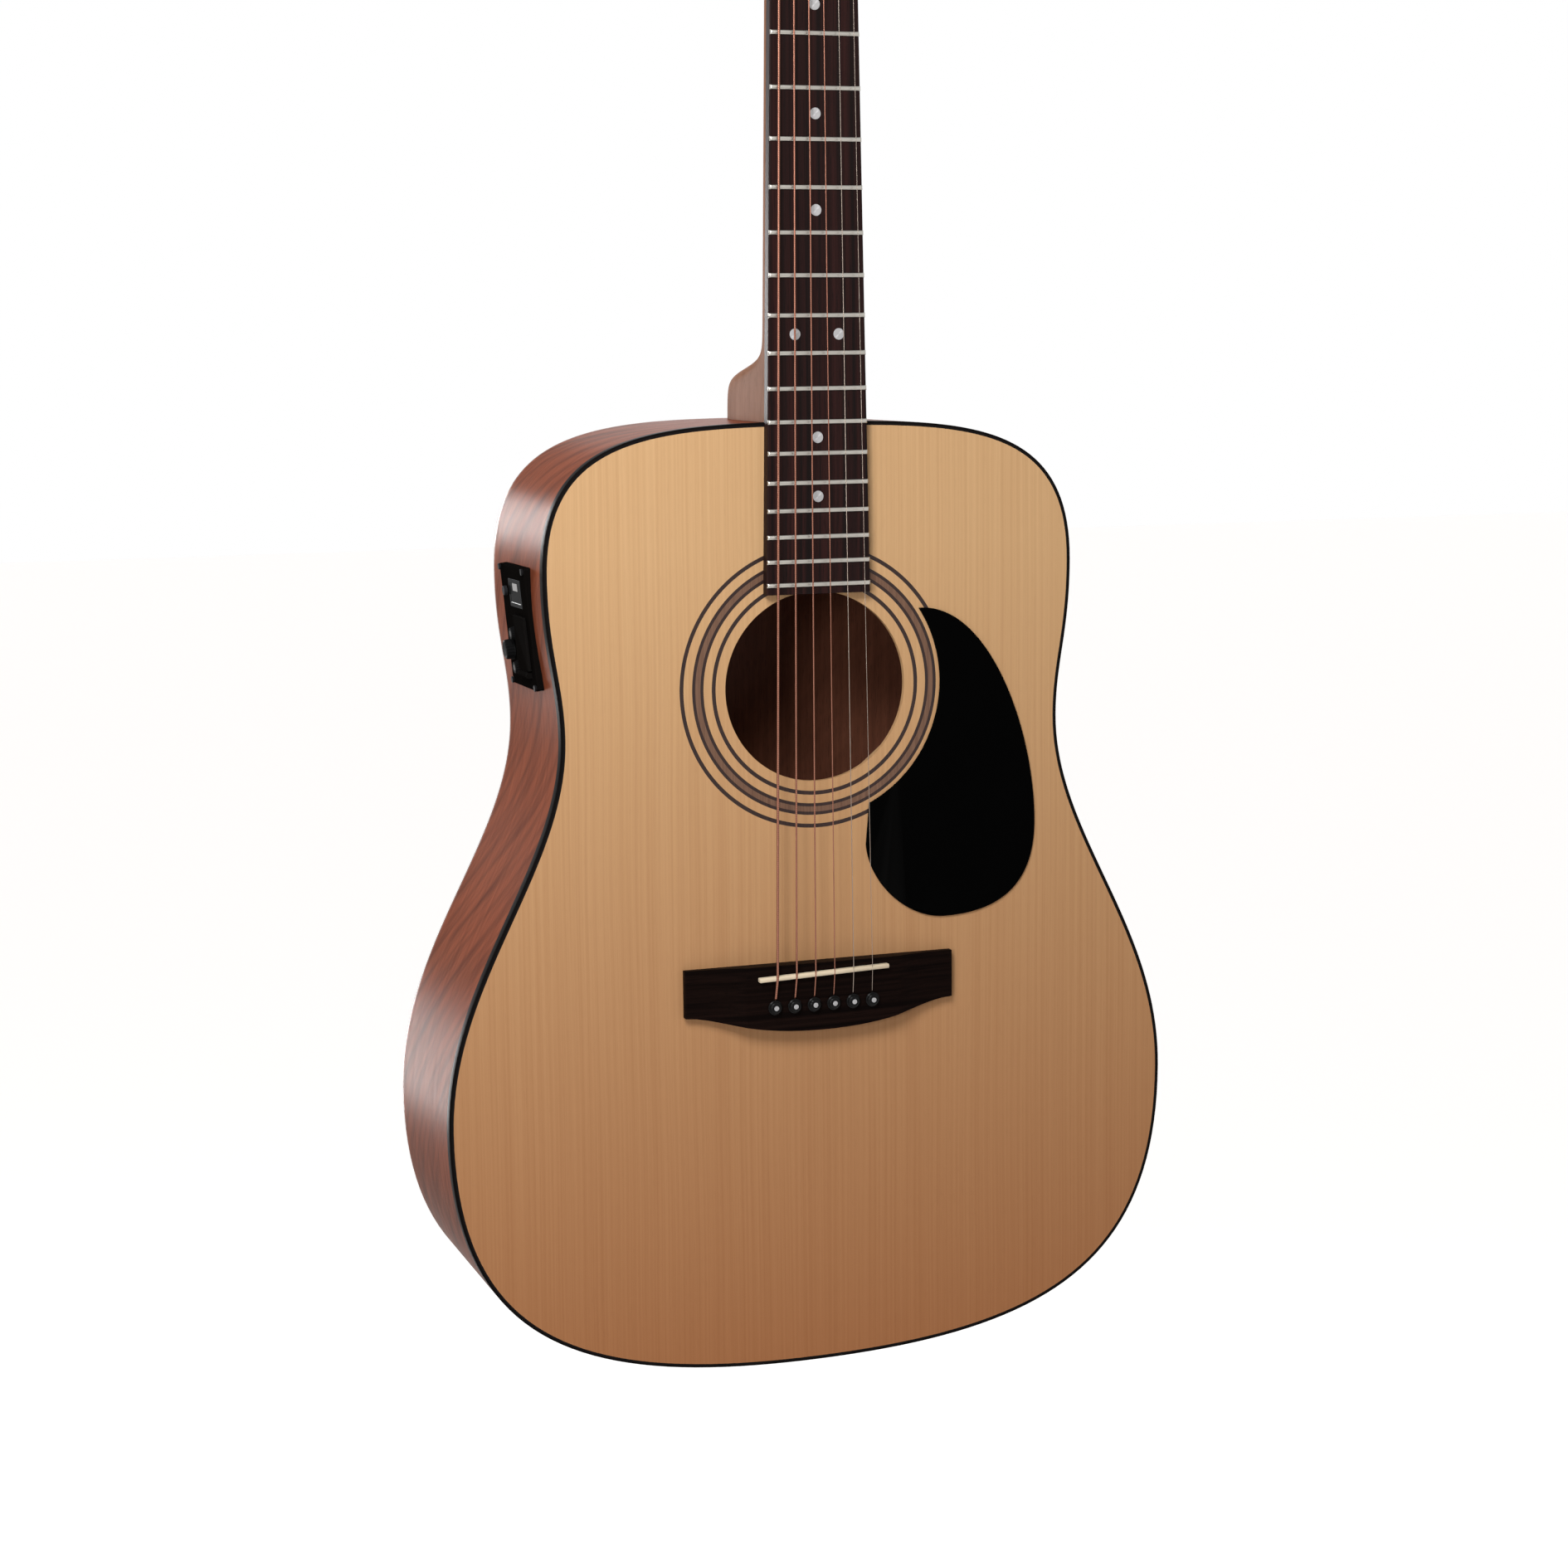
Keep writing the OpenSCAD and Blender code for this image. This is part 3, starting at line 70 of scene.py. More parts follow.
HEEL_OVER, HEEL_STEP, LEAN_RUN = 12.0, 1.4, 40.0
HOLE_R, HOLE_GAP = 50.0, -0.9
RING_IN, RING_W, BAND_IN, BAND_W, RING_OUT, ROSETTE_T = 5.3, 2.1, 11.9, 6.2, 22.8, 1.2
LINE_W, GROOVE_GAP, BINDING_SOFT, BACK_SOFT = 1.7, 0.02, 0.9, 0.8
SPINE_LOW, SPINE_HIGH = 60.0, 440.0
OFF_CENTRE = UPPER_W / 4  # The sides' points further out are not at the neck or the tail.
GUARD_T, GUARD_IN, GUARD_X, GUARD_DROP, GUARD_LEFT, GUARD_WIDE = 1.2, 20.0, 125.4, 127.7, 27.4, 79.0
GUARD_TOP = math.radians(34)
BRIDGE_T, SADDLE_PROUD, SADDLE_SLANT = 8.6, 2.7, math.radians(1.9)
SADDLE_L, SADDLE_T, SADDLE_IN, GROOVE_LIP = 73.0, 2.4, 4.4, 0.1
SADDLE_Z = NUT_Z - SCALE_L - 3.0
PIN_Z = SADDLE_Z - 16.6
PIN_SPREAD, PIN_R, PIN_HEAD_R, PIN_HEAD_H, PIN_L = 55.0, 2.5, 3.9, 3.0, 20.0
STRINGS, PLAIN_STRINGS = range(1, 7), (5, 6)
HEAVY_R, LIGHT_R, NUT_SPREAD, SADDLE_SPREAD = 0.675, 0.15, 36.0, 53.5
STRING_AT_NUT, STRING_AT_SADDLE = BOARD_T + FRET_H + 0.9, BRIDGE_T + SADDLE_PROUD
STRING_IN, PIN_BEND, BEND = 3.0, 1.2, 1.5
TURNS, TURN_STEPS, TURN_GAP, TAIL_TURN, POST_HOLE, FIT = 3, 40, 0.5, math.radians(70), 1.9, 0.05
TUNER_FIRST, TUNER_STEP, POST_X, POST_R, POST_L, HEX_TOP = 44.0, 43.0, 22.0, 3.0, 13.2, 3.4
GEAR_TEETH, GEAR_T, GEAR_R, TOOTH_H, GEAR_D = 15, 3.5, 5.8, 1.05, HEAD_T + 2
MESH_A, KEY_D, KEY_R = 8.0, GEAR_D + GEAR_T / 2, 2.0
BUSHING_HOLE_R = 4.45
BUTTON_X, BUTTON_L, BUTTON_H, BUTTON_T = 20.0, 14.0, 18.0, 7.5
PANEL_X, PANEL_LEAN, PANEL_D, PANEL_Z, PANEL_T = 144.979, math.radians(5.60882), 48.5, 400.5, 2.2
PANEL_W, PANEL_H, PANEL_SOFT, OPENING_W, OPENING_H = 49.0, 64.0, 1.5, 43.6, 58.6
BAY_Y, BAY_Z, BAY_W, BAY_H = -8.0, -9.0, 18.5, 27.5
HINGE_X, HINGE_Z, HINGE_R, LUG_Y, LUG_L, LUG_FOOT, RIM_SUNK = -3.85, -24.25, 1.5, 7.9, 2.4, 0.4, 0.5
SWITCH_Y, SWITCH_Z, SWITCH_R = 16.0, 18.0, 2.5
KNOB_Y, TONE_IN, VOLUME_Z, KNOB_STEP, KNOB_GAP = 15.5, 8.0, -13.0, 9.0, 0.3
VOLUME_R, VOLUME_H, TONE_R, TONE_H, KNOB_SHAFT_R, KNOB_SHAFT_L = 5.5, 4.6, 3.5, 2.6, 2.0, 8.8
KNOB_FLUTES, FLUTE_STEPS = 18, 4
WINDOW_Y, WINDOW_Z, WINDOW_W, WINDOW_H, WINDOW_T = -1.5, 17.5, 24.0, 15.0, 1.0
# Place and size of the pale bar, a painted highlight on the display.
BAR_Y, BAR_Z, BAR_W, BAR_H = -2.0, 21.0, 9.2, 4.4


def fret_z(n):
    return NUT_Z - SCALE_L * (1 - 2 ** (-n / 12))


BOARD_END_Z = fret_z(FRETS) - BOARD_TAIL
HOLE_Z = BOARD_END_Z - HOLE_GAP - HOLE_R


def point(x, d, z):
    return Vector((x, d - JACK_D, z)) * MM


def head_point(x, d, z):
    """A point of the tilted headstock's own frame."""
    c, s = math.cos(HEAD_TILT), math.sin(HEAD_TILT)
    return point(x, d * c + z * s, HEAD_Z - d * s + z * c)


def panel_point(x, y, z):
    """A point of the preamp panel's own frame: -x is out of the body, y is depth."""
    c, s = math.cos(PANEL_LEAN), math.sin(PANEL_LEAN)
    return point(x * c - z * s - PANEL_X, y + PANEL_D, x * s + z * c + PANEL_Z)


# Lines and outlines

def bezier(a, b, c, d, count):
    """Points of a curve with two end points and two handles, without its last point."""
    out = []
    for i in range(count):
        t = i / count
        s = 1 - t
        out.append(tuple(
            s ** 3 * p + 3 * s * s * t * q + 3 * s * t * t * r + t ** 3 * e
            for p, q, r, e in zip(a, b, c, d)
        ))
    return out


def half_outline(count=40):
    """The treble half of the body's outline, from the neck joint to the tail."""
    u, w, l = UPPER_W / 2, WAIST_W / 2, LOWER_W / 2
    shoulder, bout, flare = BODY_L - UPPER_Z, UPPER_Z - WAIST_Z, WAIST_Z - LOWER_Z
    upper, waist, lower = (u, UPPER_Z), (w, WAIST_Z), (l, LOWER_Z)
    return (
        bezier((0, BODY_L), (SHOULDER * u, BODY_L), (u, UPPER_Z + SHOULDER_DROP * shoulder), upper, count)
        + bezier(upper, (u, UPPER_Z - UPPER_RUN * bout), (w, WAIST_Z + WAIST_RUN * bout), waist, count)
        + bezier(waist, (w, WAIST_Z - WAIST_DROP * flare), (l, LOWER_Z + LOWER_RUN * flare), lower, count)
        + bezier(lower, (l, LOWER_Z * (1 - LOWER_DROP)), (TAIL_RUN * l, 0), (0, 0), count)
        + [(0.0, 0.0)]
    )


def outline(inset=0.0):
    """The whole outline as a closed loop, moved inwards by a distance."""
    half = half_outline()
    loop = half + [(-x, z) for x, z in reversed(half[1:-1])]
    n = len(loop)
    out = []
    for i in range(n):
        a, b, c = Vector(loop[i - 1]), Vector(loop[i]), Vector(loop[(i + 1) % n])
        u, v = (b - a).normalized(), (c - b).normalized()
        m = (u + v).normalized()
        out.append(tuple(b + inset / max(u.dot(m), 0.2) * Vector((m.y, -m.x))))
    return out


def back_depth(x, z, less=0.0):
    """Depth of the arched back's outer face, less a distance."""
    y = math.sqrt((BACK_R - less) ** 2 - x * x) - BACK_R
    along = (z - y * math.sin(BACK_TILT)) / math.cos(BACK_TILT)
    return DEPTH_TAIL + y * math.cos(BACK_TILT) - along * math.sin(BACK_TILT)


def circle(x, z, r, count):
    return [(x + r * math.cos(2 * math.pi * i / count), z + r * math.sin(2 * math.pi * i / count))
            for i in range(count)]


def half_turn(count):
    return [math.pi * k / count for k in range(count + 1)]


# Meshes

@contextmanager
def edited(me):
    """A mesh open for editing, written back afterwards."""
    bm = bmesh.new()
    bm.from_mesh(me)
    yield bm
    bm.to_mesh(me)
    bm.free()


def mesh(name, shape):
    me = bpy.data.meshes.new(name)
    me.from_pydata([tuple(v) for v in shape[0]], [], [tuple(f) for f in shape[1]])
    return me


def shade(me, angle):
    """Smooth shading, but for the edges sharper than an angle."""
    me.shade_smooth()
    me.set_sharp_from_angle(angle=math.radians(angle))


def place(name, me, mat, nodes, body=ROOT, slot=None, angle=SHARP):
    """Makes a mesh a piece that rides on a body and stands for some of the built nodes."""
    with edited(me) as bm:
        bmesh.ops.recalc_face_normals(bm, faces=bm.faces)
    me.materials.clear()
    me.materials.append(mat)
    shade(me, angle)
    ob = bpy.data.objects.new(name, me)
    bpy.context.scene.collection.objects.link(ob)
    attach(ob, body)
    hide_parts(*nodes)
    slot or NODE_SLOT[nodes[0]]
    return ob


def add(name, shape, mat, nodes, body=ROOT, slot=None, uv=None, angle=SHARP):
    """A new piece from (points in metres, faces), with a grain map where uv gives one."""
    me = mesh(name, shape)
    if uv:
        layer = me.uv_layers.new(name="grain")
        for loop in me.loops:
            layer.data[loop.index].uv = uv[loop.vertex_index]
    return place(name, me, mat, nodes, body, slot, angle)


def piece(built, shape, mat, body=ROOT, **more):
    """A new piece that stands for a whole built node."""
    return add(built + "_piece", shape, mat, [built], body, **more)


def settle(ob, angle=None):
    """Turns an object's modifiers into its mesh, and shades it anew where an angle is given."""
    bpy.context.view_layer.update()
    graph = bpy.context.evaluated_depsgraph_get()
    me = bpy.data.meshes.new_from_object(ob.evaluated_get(graph))
    ob.modifiers.clear()
    ob.data = me
    if angle:
        shade(me, angle)


def bevelled(ob, width, segments=3, angle=SHARP):
    """Rounds the edges sharper than an angle, by a width in millimetres, and keeps flat faces flat."""
    mod = ob.modifiers.new("edge", "BEVEL")
    mod.width = width * MM
    mod.segments = segments
    mod.limit_method = "ANGLE"
    mod.angle_limit = math.radians(angle)
    mod.use_clamp_overlap = False
    settle(ob, SHARP_ROUNDED)
    ob.modifiers.new("flats", "WEIGHTED_NORMAL").keep_sharp = True
    settle(ob)


def softened(name, mat, width):
    """A copy of a built node with rounded edges, which stands for it."""
    me = NODES[name].data.copy()
    with edited(me) as bm:
        bmesh.ops.remove_doubles(bm, verts=bm.verts, dist=2e-6)
        bmesh.ops.dissolve_limit(bm, angle_limit=math.radians(0.7), verts=bm.verts, edges=bm.edges)
    bevelled(place(name + "_piece", me, mat, [name], NODE_BODY[name]), width, angle=40)


def loft(rings, ends="flat"):
    """Skin over rings of points. Its ends are flat, open, or joined into a loop."""
    m, n = len(rings[0]), len(rings)
    verts = [p for ring in rings for p in ring]
    faces = []
    for i in range(n if ends == "joined" else n - 1):
        for k in range(m):
            a, b, up = i * m + k, i * m + (k + 1) % m, (i + 1) % n * m - i * m
            faces.append((a, b, b + up, a + up))
    if ends == "flat":
        faces.append(tuple(reversed(range(m))))
        faces.append(tuple(range((n - 1) * m, n * m)))
    return verts, faces


def joined(*parts):
    """Several (verts, faces) as one."""
    verts, faces = [], []
    for v, f in parts:
        base = len(verts)
        verts += v
        faces += [tuple(i + base for i in face) for face in f]
    return verts, faces


def lathe(profile, to_point, count=40):
    """A closed turned form. profile is (radius, height) pairs; to_point maps (a, b, height) to the model."""
    return loft([[to_point(a, b, h) for a, b in circle(0, 0, r, count)] for r, h in profile])


def ring_solid(inner, outer):
    """A flat ring round the soundhole, in its groove of the top."""
    low = ROSETTE_T - GROOVE_GAP
    corners = ((inner, 0.0), (outer, 0.0), (outer, low), (inner, low))
    return loft([[point(x, d, z) for x, z in circle(0, HOLE_Z, r, HOLE_SIDES)] for r, d in corners], "joined")


def tube(path, radius, sides=12):
    """A round tube along points, and the distance along it as its grain map."""
    rings, uv = [], []
    side = (path[1] - path[0]).normalized().orthogonal().normalized()
    run = 0.0
    for i, p in enumerate(path):
        a, b = path[max(i - 1, 0)], path[min(i + 1, len(path) - 1)]
        way = (b - a).normalized()
        side = (side - way * side.dot(way)).normalized()
        up = way.cross(side)
        run += (p - a).length if i else 0.0
        rings.append([p + radius * MM * (c * side + s * up) for c, s in circle(0, 0, 1, sides)])
        uv += [(run, k / sides) for k in range(sides)]
    return loft(rings), uv


def middle(points, face):
    return [sum(points[i][k] for i in face) / len(face) for k in (0, 1)]


def inside(p, loop):
    hit = False
    for i in range(len(loop)):
        (x1, z1), (x2, z2) = loop[i - 1], loop[i]
        if (z1 > p[1]) != (z2 > p[1]) and p[0] < x1 + (p[1] - z1) * (x2 - x1) / (z2 - z1):
            hit = not hit
    return hit


def triangles(loops):
    """A flat shape whose edges are loops, as points and triangles."""
    points, edges = [], []
    for loop in loops:
        base = len(points)
        points += [Vector(p) for p in loop]
        edges += [(base + i, base + (i + 1) % len(loop)) for i in range(len(loop))]
    made = geometry.delaunay_2d_cdt(points, edges, [], 1, 1e-6)
    return [tuple(p) for p in made[0]], [tuple(f) for f in made[2]]


def plate(loops, near, far, to_point=point):
    """A flat plate between two depths: an outer loop and holes."""
    points, tris = triangles(loops)
    flat = [f for f in tris if not any(inside(middle(points, f), hole) for hole in loops[1:])]
    n = len(points)
    verts = [to_point(x, d, z) for d in (near, far) for x, z in points]
    faces = flat + [tuple(i + n for i in reversed(f)) for f in flat]
    edges = dict.fromkeys((a, b) for f in flat for a, b in zip(f, f[1:] + f[:1]))
    faces += [(b, a, a + n, b + n) for a, b in edges if (b, a) not in edges]
    return verts, faces


# Materials

def material(name, **sockets):
    mat = bpy.data.materials.new(name)
    mat.use_nodes = True
    tree = mat.node_tree
    shader = tree.nodes["Principled BSDF"]
    for key, value in sockets.items():
        socket = shader.inputs[key.replace("_", " ").title().replace("Ior", "IOR")]
        socket.default_value = (*value, 1) if isinstance(value, tuple) else value
    return mat, tree, shader


def node(tree, kind, inputs=(), **props):
    n = tree.nodes.new("ShaderNode" + kind)
    for key, value in props.items():
        setattr(n, key, value)
    for key, value in dict(inputs).items():
        if isinstance(value, bpy.types.NodeSocket):
            tree.links.new(value, n.inputs[key])
        else:
            n.inputs[key].default_value = value
    return n


def maths(tree, op, a, b=0.0):
    return node(tree, "Math", {0: a, 1: b}, operation=op).outputs[0]


def spread(tree, parts):
    """A vector of up to three values, each times its own factor."""
    out = node(tree, "CombineXYZ")
    for i, (value, factor) in enumerate(parts):
        tree.links.new(maths(tree, "MULTIPLY", value, factor), out.inputs[i])
    return out.outputs[0]


def noise(tree, vector, detail=3.0, rough=0.55, scale=1.0):
    inputs = {"Vector": vector, "Scale": scale, "Detail": detail, "Roughness": rough}
    return node(tree, "TexNoise", inputs).outputs[0]


def ramp(tree, value, low, high, top=1.0):
    """0 up to low, rising to top at high."""
    inputs = {"Value": value, "From Min": low, "From Max": high, "To Max": top}
    return node(tree, "MapRange", inputs).outputs[0]


def times(colour, factor):
    return tuple(c * factor for c in colour)


def blend(tree, factor, a, b, mode="MIX"):
    a, b = ((*c, 1) if isinstance(c, tuple) else c for c in (a, b))
    return node(tree, "Mix", {0: factor, 6: a, 7: b}, data_type="RGBA", blend_type=mode).outputs[2]


def bump(tree, shader, height, strength, distance):
    n = node(tree, "Bump", {"Height": height, "Strength": strength, "Distance": distance})
    tree.links.new(n.outputs[0], shader.inputs["Normal"])


def gloss(tree, shader, value, low, high):
    """Roughness that follows a value from 0 to 1."""
    n = node(tree, "MapRange", {"Value": value, "To Min": low, "To Max": high})
    tree.links.new(n.outputs[0], shader.inputs["Roughness"])


FIGURE_LEAN, GRAIN_WANDER = 0.8, 0.004


def wood(name, source, light, dark, pore, lines, pores, roughness, ribbon=0.0, match=False, painted_shade=None,
         contrast=(0.38, 0.66), band_share=0.4, specular=0.3, run=2.5):
    """Grain along z, x or the piece's own grain map: annual lines, tone bands, pores and figure.

    ribbon is the strength of the slanting figure, match mirrors the grain about the centre line, and the last
    argument, where given, is (low, high, tint) for painted shade that darkens the wood towards the tail.
    """
    mat, tree, shader = material(name, specular_ior_level=specular)
    spot = node(tree, "TexCoord").outputs["Object"]
    at = node(tree, "UVMap", uv_map="grain").outputs[0] if source == "map" else spot
    x, y, z = node(tree, "SeparateXYZ", {0: at}).outputs
    along, across, third = {"map": (x, y, z), "z": (z, x, y), "x": (x, z, y)}[source]
    if match:
        across = maths(tree, "ABSOLUTE", across)
    wander = noise(tree, spread(tree, [(along, 5.0), (across, 9.0), (third, 9.0)]), 1.0)
    across = maths(tree, "ADD", across, maths(tree, "MULTIPLY", wander, GRAIN_WANDER))
    line = noise(tree, spread(tree, [(along, run), (across, lines), (third, lines * 0.3)]), 4.0, 0.6)
    band = noise(tree, spread(tree, [(along, 2.0), (across, 55.0), (third, 30.0)]), 3.0)
    dash = noise(tree, spread(tree, [(along, 90.0), (across, 2400.0), (third, 2400.0)]), 1.0)
    colour = blend(tree, ramp(tree, line, *contrast), light, dark)
    colour = blend(tree, ramp(tree, band, 0.35, 0.7, band_share), colour, dark)
    mark = ramp(tree, dash, 0.60, 0.72)
    colour = blend(tree, maths(tree, "MULTIPLY", mark, pores), colour, pore)
    if ribbon:
        lean = maths(tree, "ADD", along, maths(tree, "MULTIPLY", across, FIGURE_LEAN))
        cross = maths(tree, "SUBTRACT", across, maths(tree, "MULTIPLY", along, FIGURE_LEAN))
        flame = noise(tree, spread(tree, [(lean, 9.0), (cross, 95.0), (third, 20.0)]), 2.0, 0.5)
        colour = blend(tree, ramp(tree, flame, 0.42, 0.72, ribbon), colour, pore)
    # Painted shade: the colour is darkened towards the tail, where less light falls.
    if painted_shade:
        low, high, shade_tint = painted_shade
        height = node(tree, "SeparateXYZ", {0: spot}).outputs[2]
        colour = blend(tree, ramp(tree, height, high, low), colour, shade_tint, "MULTIPLY")
    tree.links.new(colour, shader.inputs["Base Color"])
    gloss(tree, shader, line, roughness - 0.06, roughness + 0.08)
    bump(tree, shader, maths(tree, "SUBTRACT", line, mark), 0.25, 0.00008)
    return mat


def plastic(name, colour, roughness, grain=2500.0, strength=0.06, specular=0.5):
    """Moulded plastic: fine texture, faint scuffs in the gloss and paler worn edges."""
    mat, tree, shader = material(name, specular_ior_level=specular)
    at = node(tree, "TexCoord").outputs["Object"]
    fine = noise(tree, at, 2.0, 0.5, grain)
    broad = noise(tree, at, 4.0, 0.5, 35.0)
    edge = ramp(tree, node(tree, "NewGeometry").outputs["Pointiness"], 0.53, 0.6, 0.6)
    worn = tuple(min(1.0, c * 1.5 + 0.012) for c in colour)
    tone = blend(tree, ramp(tree, broad, 0.4, 0.7, 0.5), colour, times(colour, 1.35))
    tree.links.new(blend(tree, edge, tone, worn), shader.inputs["Base Color"])
    gloss(tree, shader, broad, roughness - 0.07, roughness + 0.09)
    bump(tree, shader, fine, strength, 0.0001)
    return mat


def metal(name, colour, roughness, brushed=0.0, stretch=(60.0, 60.0, 60.0)):
    """Plated or drawn metal: smudges in the gloss, fine drawing lines where brushed."""
    mat, tree, shader = material(name, metallic=1.0)
    at = node(tree, "TexCoord").outputs["Object"]
    drawn = node(tree, "Mapping", {"Vector": at, "Scale": stretch}).outputs[0]
    smudge = noise(tree, at, 4.0, 0.5, 90.0)
    fine = noise(tree, drawn, 2.0, 0.5, 20.0)
    tone = blend(tree, ramp(tree, smudge, 0.45, 0.75, 0.5), colour, times(colour, 0.8))
    tree.links.new(tone, shader.inputs["Base Color"])
    gloss(tree, shader, smudge, max(roughness - 0.05, 0.02), roughness + 0.1)
    bump(tree, shader, fine, 0.05 + brushed, 0.00003)
    return mat


def wound(name, colour, pitch):
    """A string wrapped in fine wire: ridges along the piece's own length, with painted shade in the grooves
    between the turns.
    """
    mat, tree, shader = material(name, metallic=1.0)
    x, y, z = node(tree, "SeparateXYZ", {0: node(tree, "UVMap", uv_map="grain").outputs[0]}).outputs
    turn = maths(tree, "ADD", maths(tree, "DIVIDE", x, pitch), y)
    ridge = maths(tree, "ABSOLUTE", maths(tree, "SINE", maths(tree, "MULTIPLY", turn, math.pi)))
    tone = noise(tree, spread(tree, [(x, 60.0), (y, 2.0), (z, 1.0)]), 2.0)
    face = blend(tree, ramp(tree, tone, 0.4, 0.7, 0.5), colour, times(colour, 0.75))
    # Painted shade: the grooves between the turns are darkened.
    groove = times(colour, 0.3)
    tree.links.new(blend(tree, ramp(tree, ridge, 0.0, 0.55), groove, face), shader.inputs["Base Color"])
    gloss(tree, shader, tone, 0.26, 0.42)
    bump(tree, shader, ridge, 0.6, 0.00012)
    return mat


# The spruce is painted darker and redder towards the tail: painted shade for light falling off down the top.
SPRUCE = wood("spruce", "z", (0.68, 0.425, 0.215), (0.615, 0.368, 0.18), (0.4, 0.21, 0.1), 620.0, 0.1, 0.46,
              match=True, painted_shade=(0.0, 0.44, (0.64, 0.43, 0.34)), band_share=0.14, specular=0.2)
# The sides are painted darker near their bottom edge: painted shade where the light falls off.
MAHOGANY_SIDE = wood("mahogany_side", "map", (0.32, 0.09, 0.042), (0.175, 0.046, 0.023), (0.07, 0.02, 0.012),
                     300.0, 0.45, 0.32, ribbon=0.7, painted_shade=(0.02, 0.13, (0.55, 0.65, 0.62)),
                     contrast=(0.28, 0.86), specular=0.004, run=14.0)
MAHOGANY_BACK = wood("mahogany_back", "z", (0.26, 0.098, 0.056), (0.14, 0.05, 0.03), (0.06, 0.022, 0.015),
                     300.0, 0.5, 0.32, ribbon=0.18, match=True, contrast=(0.28, 0.86), specular=0.08, run=9.0)
NECK_WOOD = wood("neck_mahogany", "z", (0.3, 0.146, 0.086), (0.2, 0.088, 0.05), (0.11, 0.048, 0.028),
                 300.0, 0.6, 0.42, ribbon=0.1, contrast=(0.28, 0.86), specular=0.004, run=9.0)
ROSEWOOD = wood("rosewood_long", "z", (0.03, 0.01, 0.009), (0.007, 0.0038, 0.0036), (0.003, 0.002, 0.002),
                420.0, 0.7, 0.5, contrast=(0.36, 0.62), specular=0.08)
ROSEWOOD_CROSS = wood("rosewood_cross", "x", (0.012, 0.006, 0.0048), (0.004, 0.0024, 0.0021),
                      (0.003, 0.002, 0.002), 420.0, 0.7, 0.36, contrast=(0.36, 0.62), specular=0.01)
ROSETTE_DARK = wood("rosette_dark", "z", (0.034, 0.015, 0.012), (0.018, 0.009, 0.008), (0.008, 0.004, 0.004),
                    900.0, 0.5, 0.42)
ROSETTE_BROWN = wood("rosette_brown", "z", (0.215, 0.116, 0.072), (0.14, 0.071, 0.044), (0.055, 0.028, 0.021),
                     900.0, 0.5, 0.42)
INNER_WOOD = wood("inner_mahogany", "z", (0.33, 0.17, 0.105), (0.22, 0.1, 0.06), (0.12, 0.05, 0.03),
                  380.0, 0.7, 0.7)
BRACE_WOOD = wood("brace_spruce", "x", (0.6, 0.4, 0.22), (0.48, 0.29, 0.15), (0.36, 0.2, 0.1),
                  620.0, 0.15, 0.72)
# Dark brown wood, darkened further as painted shade, so the back braces seen through the soundhole read as
# the shade inside the body.
BACK_BRACE_SHADED = wood("brace_mahogany_shaded", "x", (0.11, 0.046, 0.028), (0.07, 0.028, 0.017), (0.04, 0.016, 0.01),
                       420.0, 0.6, 0.72)
BINDING = plastic("black_binding", (0.006, 0.005, 0.005), 0.3, specular=0.006)
GUARD = plastic("pickguard_black", (0.0012, 0.0012, 0.0012), 0.34, grain=900.0, strength=0.03, specular=0.004)
PIN_BLACK = plastic("pin_black", (0.004, 0.004, 0.004), 0.24, specular=0.08)
PREAMP = plastic("preamp_black", (0.0046, 0.004, 0.0037), 0.46, grain=3200.0, strength=0.16, specular=0.0)
KNOB = plastic("knob_black", (0.006, 0.006, 0.0062), 0.36, grain=3200.0, strength=0.1, specular=0.004)
SWITCH = plastic("switch_grey", (0.02, 0.02, 0.022), 0.42, specular=0.01)
WINDOW = plastic("window_smoke", (0.008, 0.009, 0.01), 0.14, strength=0.01, specular=0.004)
# Painted highlight: the pale colour of the display's bar stands in for a bright spot of light on the display.
PAINTED_HIGHLIGHT = plastic("display_painted_highlight", (0.36, 0.36, 0.36), 0.4, strength=0.02, specular=0.0)
BONE = plastic("bone", (0.72, 0.59, 0.43), 0.38, grain=1500.0, strength=0.1, specular=0.2)
PEARL = plastic("pearl", (0.46, 0.46, 0.47), 0.22, grain=500.0, strength=0.02, specular=0.1)
BATTERY = plastic("battery_case", (0.09, 0.07, 0.038), 0.34, specular=0.1)
FRET_WIRE = metal("fret_wire", (0.43, 0.41, 0.37), 0.28, stretch=(4.0, 60.0, 60.0))
STEEL = metal("steel", (0.4, 0.4, 0.41), 0.3, brushed=0.1)
BLACK_SCREW = plastic("black_screw", (0.01, 0.01, 0.011), 0.34, specular=0.01)
CHROME = metal("chrome", (0.52, 0.525, 0.54), 0.12)
# Painted highlight: the tone knobs' pale grey discs stand in for the glints of light on their tops.
CAP_HIGHLIGHT_GREY = plastic("cap_painted_highlight", (0.105, 0.103, 0.102), 0.42, specular=0.004)
PLAIN_WIRE = metal("plain_wire", (0.35, 0.285, 0.24), 0.24, stretch=(60.0, 60.0, 2.0))
WOUND = wound("wound_bronze", (0.31, 0.135, 0.092), 0.0011)


# Body shell

